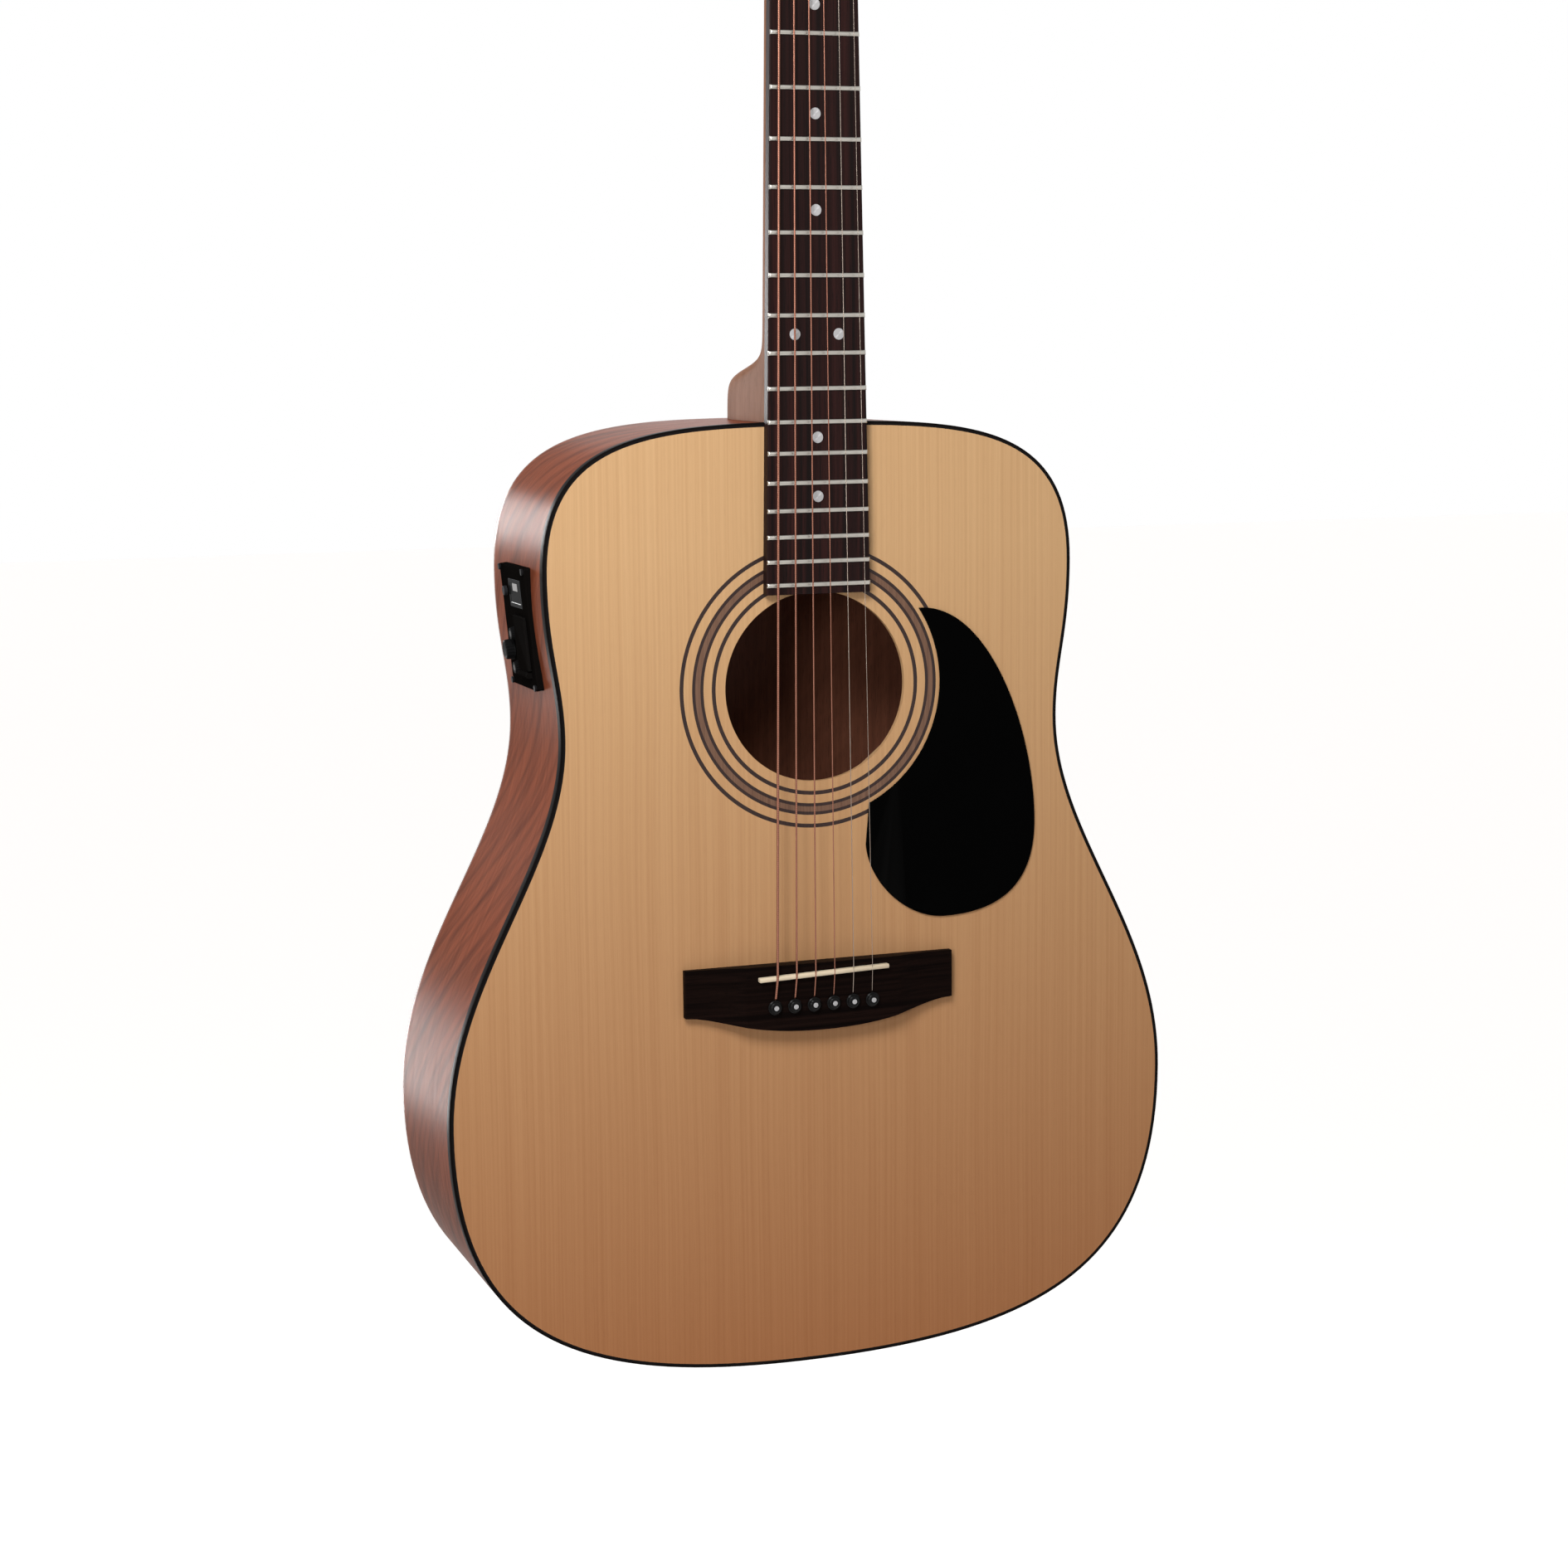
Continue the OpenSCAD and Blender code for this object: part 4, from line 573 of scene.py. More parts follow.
def soundboard():
    """The top, with the soundhole and the three grooves of the rosette."""
    lows = [HOLE_R + RING_IN, HOLE_R + BAND_IN, HOLE_R + RING_OUT]
    highs = [lows[0] + RING_W, lows[1] + BAND_W, lows[2] + RING_W]
    loops = [outline(SIDE_T)] + [circle(0, HOLE_Z, r, HOLE_SIDES) for r in [HOLE_R] + lows + highs]
    points, tris = triangles(loops)
    verts, faces, index = [], [], {}

    def vertex(i, d):
        if (i, d) not in index:
            index[(i, d)] = len(verts)
            verts.append(point(points[i][0], d, points[i][1]))
        return index[(i, d)]

    level = {}
    for f in tris:
        r = math.dist(middle(points, f), (0, HOLE_Z))
        if r < HOLE_R:
            continue
        d = ROSETTE_T if any(a < r < b for a, b in zip(lows, highs)) else 0.0
        faces.append(tuple(vertex(i, d) for i in f))
        faces.append(tuple(vertex(i, TOP_T) for i in reversed(f)))
        for a, b in zip(f, f[1:] + f[:1]):
            level[(a, b)] = d
    for (a, b), d in level.items():
        other = level.get((b, a))
        if other is None:
            faces.append((vertex(b, d), vertex(a, d), vertex(a, TOP_T), vertex(b, TOP_T)))
        elif other > d:
            faces.append((vertex(b, d), vertex(a, d), vertex(a, other), vertex(b, other)))
    piece("soundboard", (verts, faces), SPRUCE)


def rosette():
    """Four dark lines, and a brown band between the middle two."""
    low, high = HOLE_R + BAND_IN, HOLE_R + BAND_IN + BAND_W
    dark = [(HOLE_R + RING_IN, HOLE_R + RING_IN + RING_W), (HOLE_R + RING_OUT, HOLE_R + RING_OUT + RING_W),
            (low, low + LINE_W), (high - LINE_W, high)]
    add("rosette_lines", joined(*[ring_solid(a, b) for a, b in dark]), ROSETTE_DARK, ["rosette"])
    add("rosette_band", ring_solid(low + LINE_W, high - LINE_W), ROSETTE_BROWN, ["rosette"])


def binding():
    """The strip round the top's edge, with its outer corner rounded."""
    soft = BINDING_SOFT
    profile = [(SIDE_T, BINDING_H), (0.0, BINDING_H), (0.0, soft)]
    profile += [(soft - soft * math.cos(a), soft - soft * math.sin(a)) for a in (0.4, 0.8, 1.2)]
    profile += [(soft, 0.0), (SIDE_T, 0.0)]
    rings = [[point(x, d, z) for x, z in outline(i)] for i, d in profile]
    piece("binding", loft(rings, "joined"), BINDING)


def side(name, sign):
    """One side: a bent strip from the binding to the back, with the preamp's opening in the bass one."""
    half = half_outline(48)
    low, high = PANEL_Z - OPENING_H / 2, PANEL_Z + OPENING_H / 2
    line = []
    for a, b in zip(half, half[1:] + half[-1:]):
        line.append(a)
        for z in (high, low):
            if a[1] > z > b[1] and a[0] > OFF_CENTRE:
                t = (a[1] - z) / (a[1] - b[1])
                line.append((a[0] + t * (b[0] - a[0]), z))
    near, far = PANEL_D - OPENING_W / 2, PANEL_D + OPENING_W / 2
    fixed = [BINDING_H, (BINDING_H + near) / 2, near, PANEL_D, far]
    verts, uv, run = [], [], 0.0
    for i, (x, z) in enumerate(line):
        run += math.dist(line[i - 1], (x, z)) if i else 0.0
        end = back_depth(x, z, BACK_T)
        for d in fixed + [far + (end - far) * t for t in (1 / 3, 2 / 3, 1)]:
            verts.append(point(sign * x, d, z))
            uv.append((run * MM, d * MM))
    m = len(fixed) + 3
    faces = []
    for i in range(len(line) - 1):
        for k in range(m - 1):
            middle = (line[i][1] + line[i + 1][1]) / 2
            if sign < 0 and low < middle < high and 2 <= k <= 3 and line[i][0] > OFF_CENTRE:
                continue
            a = i * m + k
            quad = (a, a + 1, a + m + 1, a + m)
            faces.append(quad if sign > 0 else tuple(reversed(quad)))
    ob = piece(name, (verts, faces), MAHOGANY_SIDE, uv=uv)
    outward = sum((f.normal.x * sign for f in ob.data.polygons), 0.0) > 0
    mod = ob.modifiers.new("wall", "SOLIDIFY")
    mod.thickness = SIDE_T * MM
    mod.offset = -1.0 if outward else 1.0
    settle(ob, SHARP_ROUNDED)


def back():
    """The arched back, with a softened outer edge: rings that close in on its middle line."""
    loop = outline()

    def ring(t, d_less, inset=0.0):
        edge = outline(inset) if inset else loop
        out = []
        for (x, z), (ex, ez) in zip(loop, edge):
            mid = min(max(z, SPINE_LOW), SPINE_HIGH)
            px, pz = ex * (1 - t), ez + (mid - ez) * t
            out.append(point(px, back_depth(px, pz, d_less), pz))
        return out

    soft, small = BACK_SOFT, BACK_SOFT * 0.3
    steps = [0.06, 0.15, 0.3, 0.45, 0.6, 0.75, 0.9, 1.0]
    rings = [ring(t, BACK_T) for t in reversed(steps)]
    rings += [ring(0, BACK_T), ring(0, soft), ring(0, small, small), ring(0, 0, soft)]
    rings += [ring(t, 0) for t in steps]
    me = mesh("back_piece", loft(rings, "open"))
    with edited(me) as bm:
        bmesh.ops.remove_doubles(bm, verts=bm.verts, dist=2e-5)
        bmesh.ops.dissolve_degenerate(bm, edges=bm.edges, dist=1e-6)
    place("back_piece", me, MAHOGANY_BACK, ["back"])


# Neck and headstock

def board_x(z):
    return NUT_W / 2 + (BOARD_END_W - NUT_W) / 2 * (NUT_Z - z) / (NUT_Z - BOARD_END_Z)


def neck_depth(z):
    shaft = NECK_T + (NECK_T_HEEL - NECK_T) * (NUT_Z - z) / (NUT_Z - BODY_L)
    return shaft + (HEEL_D + HEEL_OVER - shaft) / (1 + math.exp((z - BODY_L - HEEL_L) / HEEL_SOFT))


def neck_form():
    """Sections flat in front and round behind; the last ones lean to meet the headstock."""
    heel_end = BODY_L + 2 * HEEL_L
    heights = [BODY_L + HEEL_STEP * i for i in range(math.ceil(2 * HEEL_L / HEEL_STEP))]
    heights += [heel_end + (HEAD_Z - heel_end) * i / 24 for i in range(25)]
    rings = []
    for z in heights:
        lean = min(max((z - (HEAD_Z - LEAN_RUN)) / LEAN_RUN, 0.0), 1.0) * math.tan(HEAD_TILT)
        ring = []
        for a in half_turn(36):
            c, s = math.cos(a), math.sin(a)
            d = neck_depth(z) * max(s, 0.0) ** 0.85
            ring.append(point(board_x(z) * math.copysign(abs(c) ** 0.9, c), d, z - d * lean))
        rings.append(ring)
    return loft(rings)


def cut(me, depth, keep_near):
    """Cuts a mesh square to the depth and closes it."""
    with edited(me) as bm:
        bmesh.ops.recalc_face_normals(bm, faces=bm.faces)
        bmesh.ops.bisect_plane(bm, geom=bm.verts[:] + bm.edges[:] + bm.faces[:], plane_co=point(0, depth, 0),
                               plane_no=(0, 1 if keep_near else -1, 0), clear_outer=True)
        bmesh.ops.holes_fill(bm, edges=[e for e in bm.edges if e.is_boundary])


def neck():
    """The neck with its heel, and the cap on the heel's end."""
    shape = neck_form()
    for name, low, high, mat in (("neck", None, HEEL_D, NECK_WOOD),
                                 ("heel_cap", HEEL_D, HEEL_D + CAP_T, BINDING)):
        me = mesh(name + "_piece", shape)
        cut(me, high, True)
        if low:
            cut(me, low, False)
        place(name + "_piece", me, mat, [name], angle=40)


def head_outline(count=16):
    flare, wide = (HEAD_LOW_W / 2, 28.0), (HEAD_TOP_W / 2, HEAD_L - 18)
    corner = (HEAD_TOP_W / 2 - 10, HEAD_L - 4)
    half = bezier((NUT_W / 2, 0), (NUT_W / 2, 12), (flare[0] - 2, flare[1] - 15), flare, count)
    half += bezier(flare, flare, wide, wide, 4)
    half += bezier(wide, (wide[0], wide[1] + 9), (corner[0] + 6, corner[1] - 1), corner, count)
    half += bezier(corner, (corner[0] - 8, corner[1] + 1), (8, HEAD_L), (0, HEAD_L), count)
    return half + [(0.0, HEAD_L)] + [(-x, z) for x, z in reversed(half)]


def tuner_side(i):
    return 1 if i > 3 else -1


def tuner_at(i):
    return tuner_side(i) * POST_X, TUNER_FIRST + TUNER_STEP * (6 - i if i > 3 else i - 1)


def headplate():
    holes = [circle(*tuner_at(i), BUSHING_HOLE_R, 32) for i in STRINGS]
    shape = plate([head_outline()] + holes, -PLATE_T, 0.0, head_point)
    bevelled(piece("headplate", shape, ROSEWOOD), 0.35)


def fingerboard():
    """The board, with rounded upper edges."""
    soft = BOARD_SOFT
    rings = []
    for z in (BOARD_END_Z, NUT_Z):
        x = board_x(z)
        section = [(-x, 0), (-x, -BOARD_T + soft)]
        section += [(-x + soft * (1 - math.cos(a)), -BOARD_T + soft * (1 - math.sin(a))) for a in (0.5, 1.05)]
        section += [(-x + soft, -BOARD_T)]
        section += [(-a, b) for a, b in reversed(section)]
        rings.append([point(a, b, z) for a, b in section])
    bevelled(piece("fingerboard", loft(rings), ROSEWOOD, angle=30), 0.3, 2, 60)


def frets():
    """Crowned wire with filed ends, a hair past the board's edges and into its face."""
    hair = 0.02
    parts = []
    for n in range(1, FRETS + 1):
        z = fret_z(n)
        half = board_x(z) + hair
        rings = []
        for x, tall in ((-half, 0.25), (-half + 0.5, 0.8), (-half + 1.0, 1.0), (half - 1.0, 1.0),
                        (half - 0.5, 0.8), (half, 0.25)):
            rings.append([point(x, hair - BOARD_T - FRET_H * tall * math.sin(a) ** 0.8,
                                z - FRET_W / 2 * math.cos(a)) for a in half_turn(10)])
        parts.append(loft(rings))
    piece("frets", joined(*parts), FRET_WIRE, angle=45)


def position_dots():
    profile = [(0.01, 0.08), (DOT_R * 0.6, 0.07), (DOT_R * 0.93, 0.03), (DOT_R, -0.02), (DOT_R, -1.4)]
    parts = []
    for n in DOT_FRETS:
        z = (fret_z(n) + fret_z(n - 1)) / 2
        for x in (-DOT_X, DOT_X) if n == OCTAVE else (0.0,):
            parts.append(lathe(profile, lambda a, b, h: point(x + a, -BOARD_T - h, z + b), 32))
    piece("position_dots", joined(*parts), PEARL)


# Top fittings

def pickguard():
    """A thin plate: its edge follows the rosette, then runs down to a rounded foot."""
    r = HOLE_R + GUARD_IN
    low_x = GUARD_LEFT + 2
    tip = (r * math.cos(GUARD_TOP), HOLE_Z + r * math.sin(GUARD_TOP))
    heel = (low_x, HOLE_Z - math.sqrt(r * r - low_x * low_x))
    wide = (GUARD_X, HOLE_Z - GUARD_WIDE)
    base = ((GUARD_X + GUARD_LEFT) / 2 - 4, HOLE_Z - GUARD_DROP)
    edge = (GUARD_LEFT, heel[1] - 20)
    end = math.atan2(heel[1] - HOLE_Z, heel[0])
    loop = bezier(tip, (tip[0] + 40.5, tip[1] + 1.8), (wide[0], wide[1] + 49.8), wide, 40)
    loop += bezier(wide, (wide[0], wide[1] - 32), (base[0] + 36, base[1]), base, 40)
    loop += bezier(base, (base[0] - 22, base[1]), (edge[0], edge[1] - 22), edge, 30)
    loop += [(r * math.cos(a), HOLE_Z + r * math.sin(a)) for a in
             (end + (GUARD_TOP - end) * i / 48 for i in range(48))]
    bevelled(piece("pickguard", plate([loop], -GUARD_T, -0.01), GUARD), 0.45)


def bone_strip(name, half, thick, low, high, to_point):
    """A bar of bone with a rounded crown and softened ends, on which the strings lie."""
    rings = []
    for x, less in ((-half, 0.45), (-half + 0.15, 0.15), (-half + 0.45, 0.0),
                    (half - 0.45, 0.0), (half - 0.15, 0.15), (half, 0.45)):
        r = thick / 2 - less
        crown = [(r * math.cos(a), high - less - 0.6 * r * (1 - math.sin(a))) for a in half_turn(12)]
        rings.append([to_point(x, h, z) for z, h in crown + [(-r, low), (r, low)]])
    piece(name, loft(rings), BONE, angle=40)


def bones():
    c, s = math.cos(SADDLE_SLANT), math.sin(SADDLE_SLANT)
    bone_strip("saddle", SADDLE_L / 2, SADDLE_T, BRIDGE_T - SADDLE_IN, STRING_AT_SADDLE + GROOVE_LIP,
               lambda x, h, z: point(x * c - z * s, -h, SADDLE_Z + x * s + z * c))
    bone_strip("nut", NUT_W / 2, NUT_T, 0.0, STRING_AT_NUT + GROOVE_LIP,
               lambda x, h, z: point(x, -h, NUT_Z + NUT_T / 2 + z))


def spread_x(i, width):
    """Where a string lies across a width."""
    return width * ((i - 1) / 5 - 0.5)


def bridge_pins():
    r, t = PIN_HEAD_R, PIN_HEAD_H
    shank = [
        (0.01, -PIN_L), (PIN_R * 0.8, -PIN_L), (PIN_R, 3 - PIN_L), (PIN_R, 0.02), (r * 0.82, 0.02),
        (r * 0.97, 0.25), (r, 0.55), (r * 0.98, 0.95), (r * 0.88, 1.25), (r * 0.84, 1.4), (r * 0.86, 1.65),
        (r * 0.83, 2.05), (r * 0.7, 2.55), (r * 0.52, 2.85), (r * 0.36, t - 0.02), (r * 0.34, t - 0.12),
        (0.01, t - 0.12),
    ]
    dot = [(0.01, t - 0.3), (r * 0.33, t - 0.3), (r * 0.33, t - 0.05), (r * 0.26, t), (0.01, t + 0.02)]
    shanks, dots = [], []
    for x in (spread_x(i, PIN_SPREAD) for i in STRINGS):
        def to_point(a, b, h):
            return point(x + a, -BRIDGE_T - h, PIN_Z + b)
        shanks.append(lathe(shank, to_point))
        dots.append(lathe(dot, to_point, 24))
    piece("bridge_pins", joined(*shanks), PIN_BLACK)
    add("bridge_pin_dots", joined(*dots), PEARL, ["bridge_pins"], slot="pearl")


# Strings

def string_r(i):
    return HEAVY_R * (LIGHT_R / HEAVY_R) ** ((i - 1) / 5)


def winding_r(i):
    return POST_R + string_r(i) + FIT


def winding_d(i):
    return -(PLATE_T + HEX_TOP + 0.5 + string_r(i))


def touch_angle(i):
    """Direction from a post to the point where its string meets the winding."""
    px, pz = tuner_at(i)
    z = -NUT_T / 2 * math.cos(HEAD_TILT) - STRING_AT_NUT * math.sin(HEAD_TILT)
    vx, vz = spread_x(i, NUT_SPREAD) - px, z - pz
    return math.atan2(vz, vx) - tuner_side(i) * math.acos(winding_r(i) / math.hypot(vx, vz))


def round_post(i, r, a, d):
    """A point at a distance and an angle round a tuner's post, and a depth in the headstock's frame."""
    px, pz = tuner_at(i)
    return head_point(px + r * math.cos(a), d, pz + r * math.sin(a))


def smooth_corner(a, b, c, size):
    """Points round the corner b of a line, within a distance of it."""
    p, q = b + (a - b).normalized() * size, b + (c - b).normalized() * size
    return [(1 - t) ** 2 * p + 2 * t * (1 - t) * b + t * t * q for t in (0, 0.25, 0.5, 0.75, 1)]


def strings():
    """Each string from its pin over saddle and nut to the winding on its post."""
    wounds, plains = [], []
    for i in STRINGS:
        r = string_r(i)
        x, pin = spread_x(i, SADDLE_SPREAD), spread_x(i, PIN_SPREAD)
        at_pin = point(x + (pin - x) * 0.75, -BRIDGE_T - r - 0.3, PIN_Z + PIN_HEAD_R + r)
        in_bridge = point(pin, -BRIDGE_T + STRING_IN, PIN_Z + PIN_R + r)
        at_saddle = point(x, -STRING_AT_SADDLE, SADDLE_Z + x * math.tan(SADDLE_SLANT))
        at_nut = point(spread_x(i, NUT_SPREAD), -STRING_AT_NUT, NUT_Z + NUT_T / 2)
        at_post = round_post(i, winding_r(i), touch_angle(i), winding_d(i))
        path = [in_bridge] + smooth_corner(in_bridge, at_pin, at_saddle, PIN_BEND * MM)
        path += smooth_corner(at_pin, at_saddle, at_nut, BEND * MM)
        path += [at_saddle.lerp(at_nut, k / 8) for k in range(1, 8)]
        path += smooth_corner(at_saddle, at_nut, at_post, BEND * MM) + [at_post]
        (plains if i in PLAIN_STRINGS else wounds).append(tube(path, r))
    for name, tubes, mat, slot in (("strings_wound", wounds, WOUND, "string_bronze"),
                                   ("strings_plain", plains, PLAIN_WIRE, "string_steel")):
        uv = [p for _, places in tubes for p in places]
        add(name, joined(*[shape for shape, _ in tubes]), mat, ["strings"], slot=slot, uv=uv, angle=60)


def string_winding(i):
    """Turns round a post that climb to its hole, with the string's end through it."""
    r, w = string_r(i), winding_r(i)
    start, way = touch_angle(i), -tuner_side(i)
    low, pitch = winding_d(i), 2 * r + TURN_GAP
    path = []
    for t in (k / TURN_STEPS for k in range(TURN_STEPS * TURNS + 1)):
        path.append(round_post(i, w, start + way * 2 * math.pi * t, low - pitch * t))
    top, hole = low - pitch * TURNS, -PLATE_T - POST_L + POST_HOLE
    end = start + way * 2 * math.pi * TURNS
    for t in (k / 8 for k in range(1, 9)):
        path.append(round_post(i, w, end + way * TAIL_TURN * t, top + (hole - top) * t ** 1.5))
    path += [round_post(i, w * along, end + way * TAIL_TURN, hole) for along in (0.6, 0.0, -0.6, -1.0, -1.5)]
    shape, uv = tube(path, r)
    mat = PLAIN_WIRE if i in PLAIN_STRINGS else WOUND
    piece(f"string_winding_{i}", shape, mat, f"tuner_post_{i}", uv=uv, angle=60)


# Tuners

def tuner_key(i):
    """Shaft, collar and a pillow-shaped button."""
    s = tuner_side(i)
    px, pz = tuner_at(i)

    def to_point(x, d, z):
        return head_point(px + s * x, KEY_D + d, pz - MESH_A + z)

    shaft = lathe([
        (0.01, -6.2), (KEY_R, -6.2), (KEY_R, 8.3), (2.9, 8.35), (3.2, 8.7), (3.2, 10.2), (2.9, 10.6),
        (2.1, 10.9), (1.8, 12), (1.7, 15), (1.9, 18.2), (2.7, 19.2), (2.9, 20), (2.9, 22.5), (0.01, 22.6),
    ], lambda a, b, h: to_point(h, a, b))
    rings = []
    for k in range(1, 20):
        u = math.pi * (k / 20 - 0.5)
        along = math.copysign(abs(math.sin(u)) ** 0.75, u)
        girth = math.cos(u) ** 0.45
        ring = []
        for cz, cd in circle(0, 0, 1, 36):
            dent = 1 - 0.22 * (1 - abs(along)) * (1 - abs(cz)) ** 1.5
            ring.append(to_point(
                BUTTON_X + BUTTON_L / 2 + BUTTON_L / 2 * along,
                BUTTON_T / 2 * girth * dent * math.copysign(abs(cd) ** 0.7, cd),
                BUTTON_H / 2 * girth * math.copysign(abs(cz) ** 0.7, cz),
            ))
        rings.append(ring)
    piece(f"tuner_key_{i}", joined(shaft, loft(rings)), CHROME, f"tuner_key_{i}", angle=45)


def tuner_post(i):
    """Post with a waist above its winding, a string hole, and its gear inside the housing."""
    s = tuner_side(i)
    px, pz = tuner_at(i)
    top = PLATE_T + POST_L

    def to_point(a, b, h):
        return head_point(px + s * a, -h, pz + b)

    post = lathe([
        (0.01, -GEAR_D), (POST_R, -GEAR_D), (POST_R, top - 4.2), (POST_R * 0.93, top - 3.4),
        (POST_R * 0.93, top - 2.6), (POST_R * 0.97, top - 1.2), (POST_R, top - 0.7),
        (POST_R * 0.95, top - 0.25), (POST_R * 0.8, top), (POST_R * 0.45, top), (POST_R * 0.35, top - 0.3),
        (0.01, top - 0.3),
    ], to_point)
    gear = []
    for k in range(GEAR_TEETH):
        a = 2 * math.pi * (k + 0.5) / GEAR_TEETH - math.pi / 2
        for r, turn in ((GEAR_R - TOOTH_H, -5.5), (GEAR_R, -3.0), (GEAR_R, 3.0), (GEAR_R - TOOTH_H, 5.5)):
            gear.append((r * math.cos(a + math.radians(turn)), r * math.sin(a + math.radians(turn))))
    rings = [[to_point(a, b, -h) for a, b in gear] for h in (GEAR_D, GEAR_D + GEAR_T)]
    piece(f"tuner_post_{i}", joined(post, loft(rings)), CHROME, f"tuner_post_{i}", angle=40)


# Preamp

def rectangle(y, z, width, height, soft=0.0, count=6):
    """A rectangle about a point, with round corners."""
    if not soft:
        return [(y + a * width / 2, z + b * height / 2) for a, b in ((-1, -1), (1, -1), (1, 1), (-1, 1))]
    out = []
    for quarter, (a, b) in enumerate(((1, 1), (-1, 1), (-1, -1), (1, -1))):
        for k in range(count + 1):
            turn = math.pi / 2 * (quarter + k / count)
            out.append((y + a * (width / 2 - soft) + soft * math.cos(turn),
                        z + b * (height / 2 - soft) + soft * math.sin(turn)))
    return out


def knob_at(k):
    """Place of a knob on the panel: k is 0 for volume and 1 or -1 for the tone knobs."""
    return KNOB_Y - TONE_IN * abs(k), VOLUME_Z + k * KNOB_STEP


def divided(loop, longest):
    """A loop with its long edges cut into shorter ones."""
    out = []
    for a, b in zip(loop, loop[1:] + loop[:1]):
        count = math.ceil(math.dist(a, b) / longest)
        out += [tuple(u + (v - u) * k / count for u, v in zip(a, b)) for k in range(count)]
    return out


def to_side(z):
    """How far behind the panel's back the curved side lies, at a height in the panel's frame."""
    c, s = math.cos(PANEL_LEAN), math.sin(PANEL_LEAN)
    half = half_outline()
    x = 0.0
    for _ in range(4):
        height = x * s + z * c + PANEL_Z
        wide = next(a[0] + (b[0] - a[0]) * (a[1] - height) / (a[1] - b[1]) for a, b in zip(half, half[1:])
                    if a[1] >= height > b[1] and a[0] > OFF_CENTRE)
        x = (PANEL_X - wide + z * s) / c
    return x


def panel():
    """A plate with openings for its fittings, a rim down to the curved side, and the door's hinge lugs."""
    edge = divided(rectangle(0, 0, PANEL_W, PANEL_H, PANEL_SOFT), 6.0)
    loops = [edge, rectangle(BAY_Y, BAY_Z, BAY_W, BAY_H)]
    loops.append(rectangle(WINDOW_Y, WINDOW_Z, WINDOW_W + 2 * FIT, WINDOW_H + 2 * FIT))
    loops += [circle(*knob_at(k), KNOB_SHAFT_R + FIT, 24) for k in (-1, 0, 1)]
    loops.append(circle(SWITCH_Y, SWITCH_Z, SWITCH_R + FIT, 24))
    outer = {(round(y, 4), round(z, 4)) for y, z in edge}

    def to_point(y, x, z):
        if x == 0.0 and (round(y, 4), round(z, 4)) in outer:
            x = to_side(z) + RIM_SUNK
        return panel_point(x, y, z)

    shape = plate(loops, -PANEL_T, 0.0, to_point)
    bevelled(piece("preamp_panel", shape, PREAMP), 0.3)
    foot = LUG_FOOT - PANEL_T
    section = [(HINGE_X - HINGE_R * math.sin(a), HINGE_Z + HINGE_R * math.cos(a)) for a in half_turn(10)]
    section += [(foot, HINGE_Z - HINGE_R), (foot, HINGE_Z + HINGE_R)]
    lugs = []
    for y in (BAY_Y - LUG_Y, BAY_Y + LUG_Y):
        lugs.append(loft([[panel_point(x, y + a * LUG_L / 2, z) for x, z in section] for a in (-1, 1)]))
    bevelled(add("preamp_panel_lugs", joined(*lugs), PREAMP, ["preamp_panel"]), 0.2)


def knob(name, row, r, height, mat_cap):
    """A fluted knob on its shaft, with a disc let into its top."""
    count = KNOB_FLUTES * FLUTE_STEPS
    base = PANEL_T + KNOB_GAP
    top = base + height
    y, z = knob_at(row)

    def to_point(a, b, h):
        return panel_point(-h, y + a, z + b)

    rings = []
    for share, h, depth in (
        (1.0, base, 0.0), (1.0, base + 0.5, 0.0), (0.99, base + 0.7, 1.0), (0.94, top - 0.8, 1.0),
        (0.9, top - 0.3, 0.6), (0.8, top, 0.0), (0.52, top, 0.0), (0.48, top - 0.25, 0.0),
    ):
        ring = []
        for k, (c, s) in enumerate(circle(0, 0, 1, count)):
            dip = 0.35 if k % FLUTE_STEPS == 0 else 0.12 if k % 2 else 0.0
            rr = r * share - dip * depth
            ring.append(to_point(rr * c, rr * s, h))
        rings.append(ring)
    head, foot, seat = base + 0.2, -KNOB_SHAFT_L, top - 0.3
    shaft = [(0.01, head), (KNOB_SHAFT_R, head), (KNOB_SHAFT_R, foot), (0.01, foot)]
    piece(name, joined(loft(rings), lathe(shaft, to_point, 24)), KNOB, name, angle=40)
    cap = [(0.01, seat), (r * 0.47, seat), (r * 0.47, top - 0.05), (r * 0.4, top), (0.01, top + 0.02)]
    add(f"{name}_cap", lathe(cap, to_point, 32), mat_cap, [name], name)


def display():
    """A smoked window, and a pale bar behind its upper edge as a painted highlight on the display."""
    def sheet(y, z, width, height, steps):
        rings = []
        for less, x in steps:
            ring = rectangle(y, z, width - 2 * less, height - 2 * less)
            rings.append([panel_point(x - PANEL_T, a, b) for a, b in ring])
        return loft(rings)

    window = sheet(WINDOW_Y, WINDOW_Z, WINDOW_W, WINDOW_H,
                   ((0.0, WINDOW_T), (0.0, 0.25), (0.25, 0.0), (2.2, 0.0), (2.5, 0.12)))
    piece("display_window", window, WINDOW, angle=12)
    bar = sheet(BAR_Y, BAR_Z, BAR_W, BAR_H, ((0.0, 0.12), (0.0, 0.05), (0.15, 0.01)))
    add("display_highlight_bar", bar, PAINTED_HIGHLIGHT, ["display_window"], angle=12)


# Assembly

soundboard()
rosette()
binding()
side("side_bass", -1)
side("side_treble", 1)
back()
neck()
headplate()
fingerboard()
frets()
position_dots()
pickguard()
bones()
bridge_pins()
strings()
for number in STRINGS:
    string_winding(number)
    tuner_key(number)
    tuner_post(number)
knob("volume_knob", 0, VOLUME_R, VOLUME_H, KNOB)
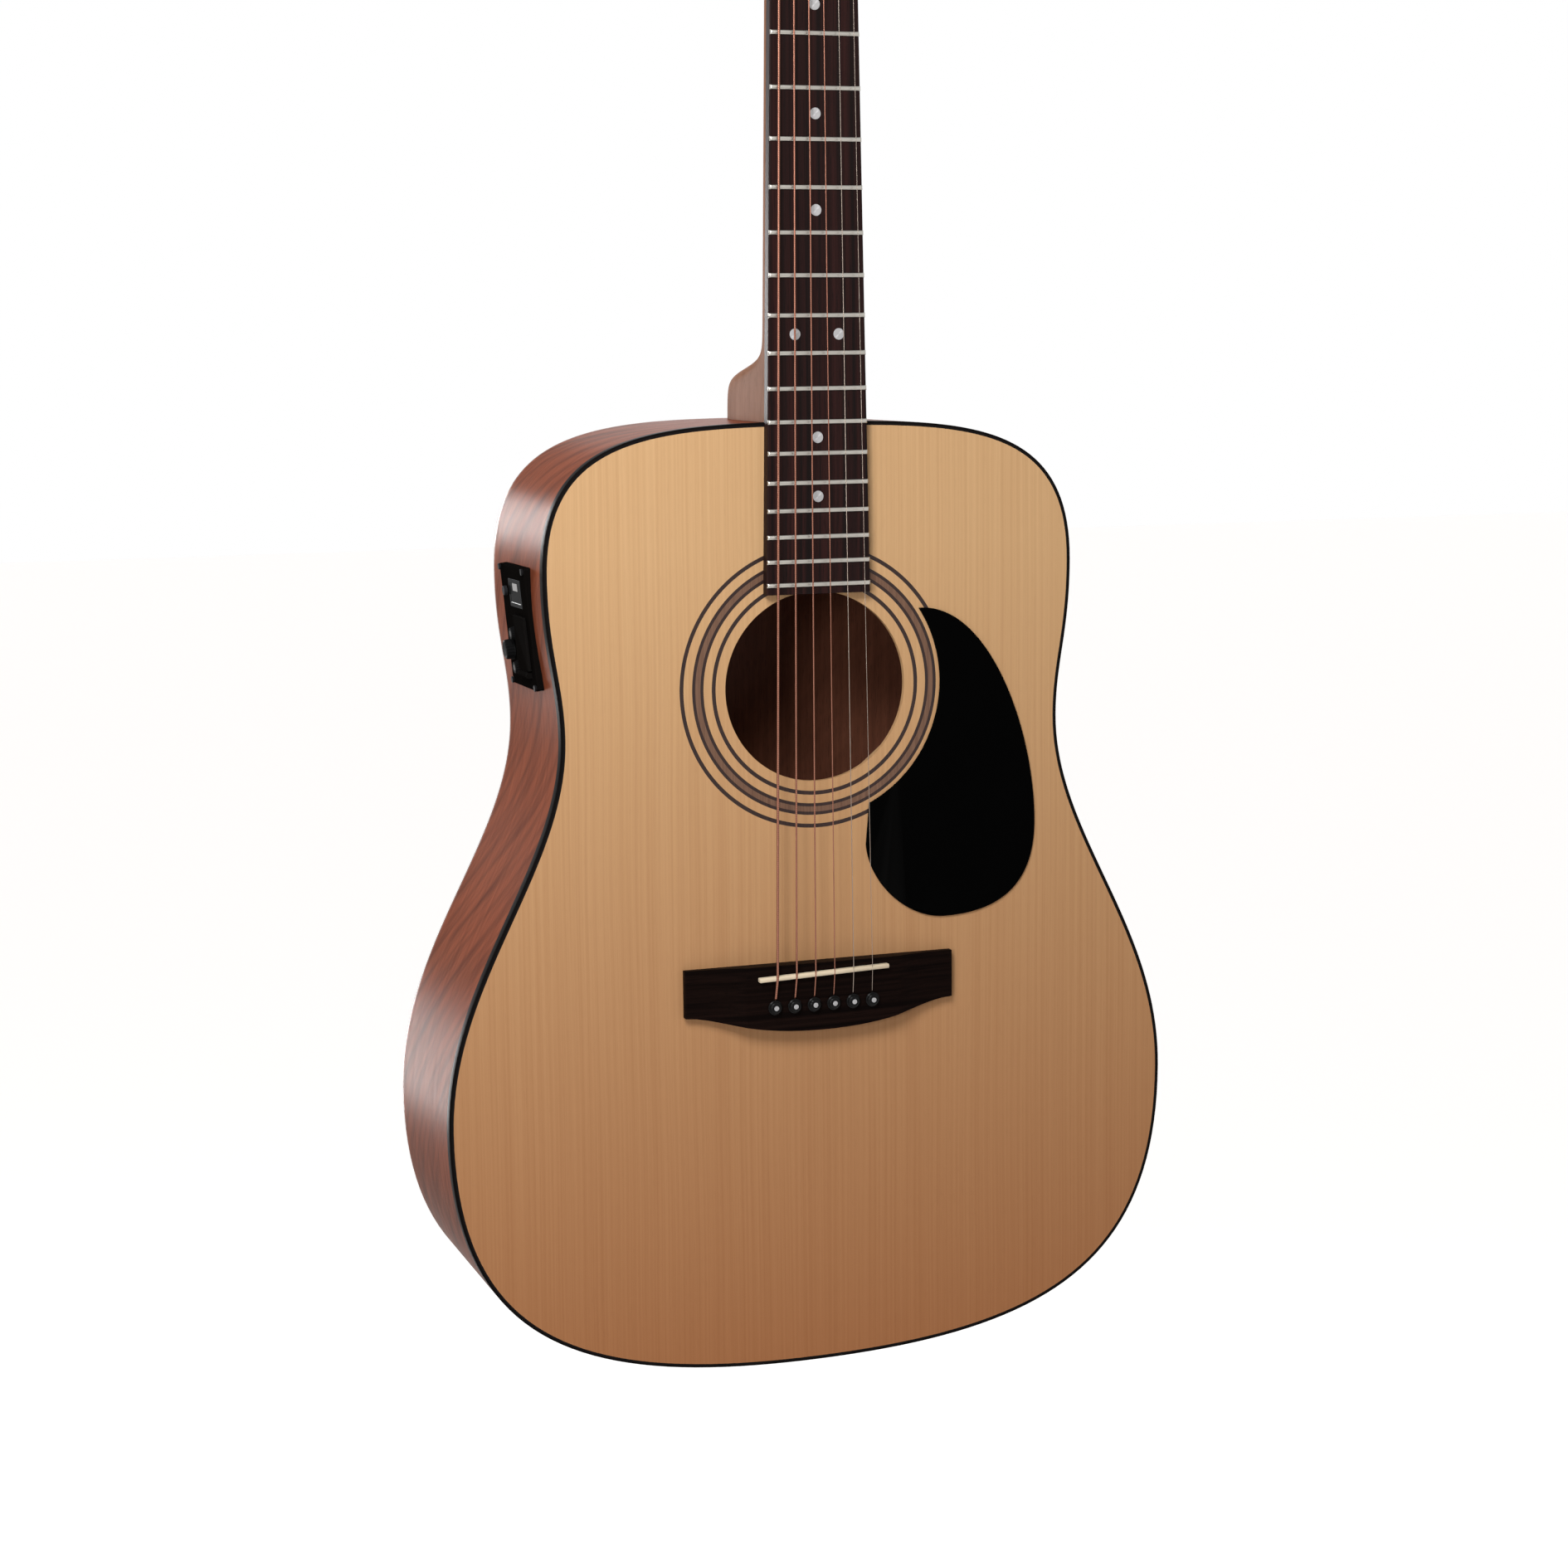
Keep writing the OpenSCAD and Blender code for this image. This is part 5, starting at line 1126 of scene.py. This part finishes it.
# The tone knobs' grey discs are painted highlights.
knob("bass_knob", 1, TONE_R, TONE_H, CAP_HIGHLIGHT_GREY)
knob("treble_knob", -1, TONE_R, TONE_H, CAP_HIGHLIGHT_GREY)
display()
panel()
for name, mat, width in (
    ("headstock", NECK_WOOD, 0.7), ("bridge", ROSEWOOD_CROSS, 0.5), ("tuner_housings", CHROME, 0.8),
    ("tuner_bushings", CHROME, 0.3), ("tuner_screws", STEEL, 0.3), ("output_jack", CHROME, 0.35),
    ("battery_door", PREAMP, 0.35), ("preamp_screws", BLACK_SCREW, 0.2), ("tuner_switch", SWITCH, 0.3),
    ("truss_rod_nut", STEEL, 0.3),
):
    softened(name, mat, width)
for name, mat in (
    ("linings", INNER_WOOD), ("neck_block", INNER_WOOD), ("tail_block", INNER_WOOD),
    ("bridge_plate", INNER_WOOD), ("top_braces", BRACE_WOOD), ("back_braces", BACK_BRACE_SHADED),
    ("pickup_strip", STEEL), ("truss_rod", STEEL), ("preamp_housing", PREAMP), ("battery", BATTERY),
):
    NODES[name].data.materials.clear()
    NODES[name].data.materials.append(mat)

# Floor, light and camera

SKY_LIGHT, SKY_WARM = 0.14, (1.0, 0.86, 0.76)
FLOOR_Z, FLOOR_SIZE, FLOOR_GLOW = -0.6, 30.0, 0.85
scene = bpy.context.scene
scene.view_settings.view_transform = "Standard"


def seen_share(tree):
    """1 for rays from the camera or by way of a reflection or glass, 0 for those that light things."""
    path = node(tree, "LightPath")
    return maths(tree, "MAXIMUM", path.outputs["Is Camera Ray"],
                 maths(tree, "MAXIMUM", path.outputs["Is Glossy Ray"], path.outputs["Is Transmission Ray"]))


world = bpy.data.worlds.new("studio")
scene.world = world
world.use_nodes = True
tree = world.node_tree
sky = tree.nodes["Background"]
share = seen_share(tree)
tree.links.new(blend(tree, share, SKY_WARM, (1.0, 1.0, 1.0)), sky.inputs["Color"])
level = node(tree, "MapRange", {"Value": share, "To Min": SKY_LIGHT, "To Max": 1.0})
tree.links.new(level.outputs[0], sky.inputs["Strength"])

bpy.ops.mesh.primitive_plane_add(size=FLOOR_SIZE, location=(0, 0, FLOOR_Z))
floor = bpy.context.object
floor.name = "floor"
floor_mat, tree, shader = material("floor", base_color=(0.9, 0.9, 0.9), roughness=0.9, specular_ior_level=0.1)
glow = node(tree, "Emission", {"Strength": maths(tree, "MULTIPLY", seen_share(tree), FLOOR_GLOW)})
both = node(tree, "AddShader", {0: shader.outputs[0], 1: glow.outputs[0]})
tree.links.new(both.outputs[0], tree.nodes["Material Output"].inputs["Surface"])
floor.data.materials.append(floor_mat)


def lamp(name, at, aim, size, power):
    data = bpy.data.lights.new(name, "AREA")
    data.shape = "RECTANGLE"
    data.size, data.size_y = size
    data.energy = power
    ob = bpy.data.objects.new(name, data)
    ob.location = at
    ob.rotation_euler = (Vector(aim) - Vector(at)).to_track_quat("-Z", "Y").to_euler()
    ob.visible_camera = False
    scene.collection.objects.link(ob)


lamp("key", (-0.50, -0.80, 1.06), (0.0, -0.06, 0.45), (0.5, 0.4), 10)
lamp("left", (-1.00, -1.25, 0.46), (0.0, 0.0, 0.37), (0.3, 0.3), 5.5)
lamp("right", (1.60, -1.60, 0.80), (0.0, 0.0, 0.40), (1.2, 1.2), 1.5)
lamp("rim_high", (-0.39, 0.97, 0.54), (-0.14, 0.0, 0.45), (0.24, 0.20), 5.8)
lamp("rim_low", (-0.49, 0.97, 0.02), (-0.20, 0.0, 0.16), (0.24, 0.26), 4.2)
lamp("behind", (0.90, 1.60, 0.90), (0.0, 0.05, 0.45), (1.6, 1.6), 8)
lamp("above", (-0.30, 0.25, 1.60), (-0.10, 0.0, 0.47), (0.5, 0.5), 2.5)

# The photograph's size and focal length in its pixels, and the camera's place and axes.
PHOTO_PX, FOCAL_PX, SENSOR = 1890.0, 3602.0, 36.0
EYE_AT = (-0.5395, -1.5209, 0.5470)
RIGHT, UP, AHEAD = (0.9413, -0.3374, -0.0094), (0.0584, 0.1354, 0.9891), (0.3325, 0.9316, -0.1471)
eye = bpy.data.cameras.new("camera")
eye.sensor_width = SENSOR
eye.lens = FOCAL_PX / PHOTO_PX * SENSOR
eye.clip_start, eye.clip_end = 0.05, 50.0
camera = bpy.data.objects.new("camera", eye)
camera.location = EYE_AT
turn = camera.matrix_world.to_3x3()
for row in range(3):
    turn[row] = (RIGHT[row], UP[row], -AHEAD[row])
camera.rotation_euler = turn.normalized().to_euler()
scene.collection.objects.link(camera)
scene.camera = camera
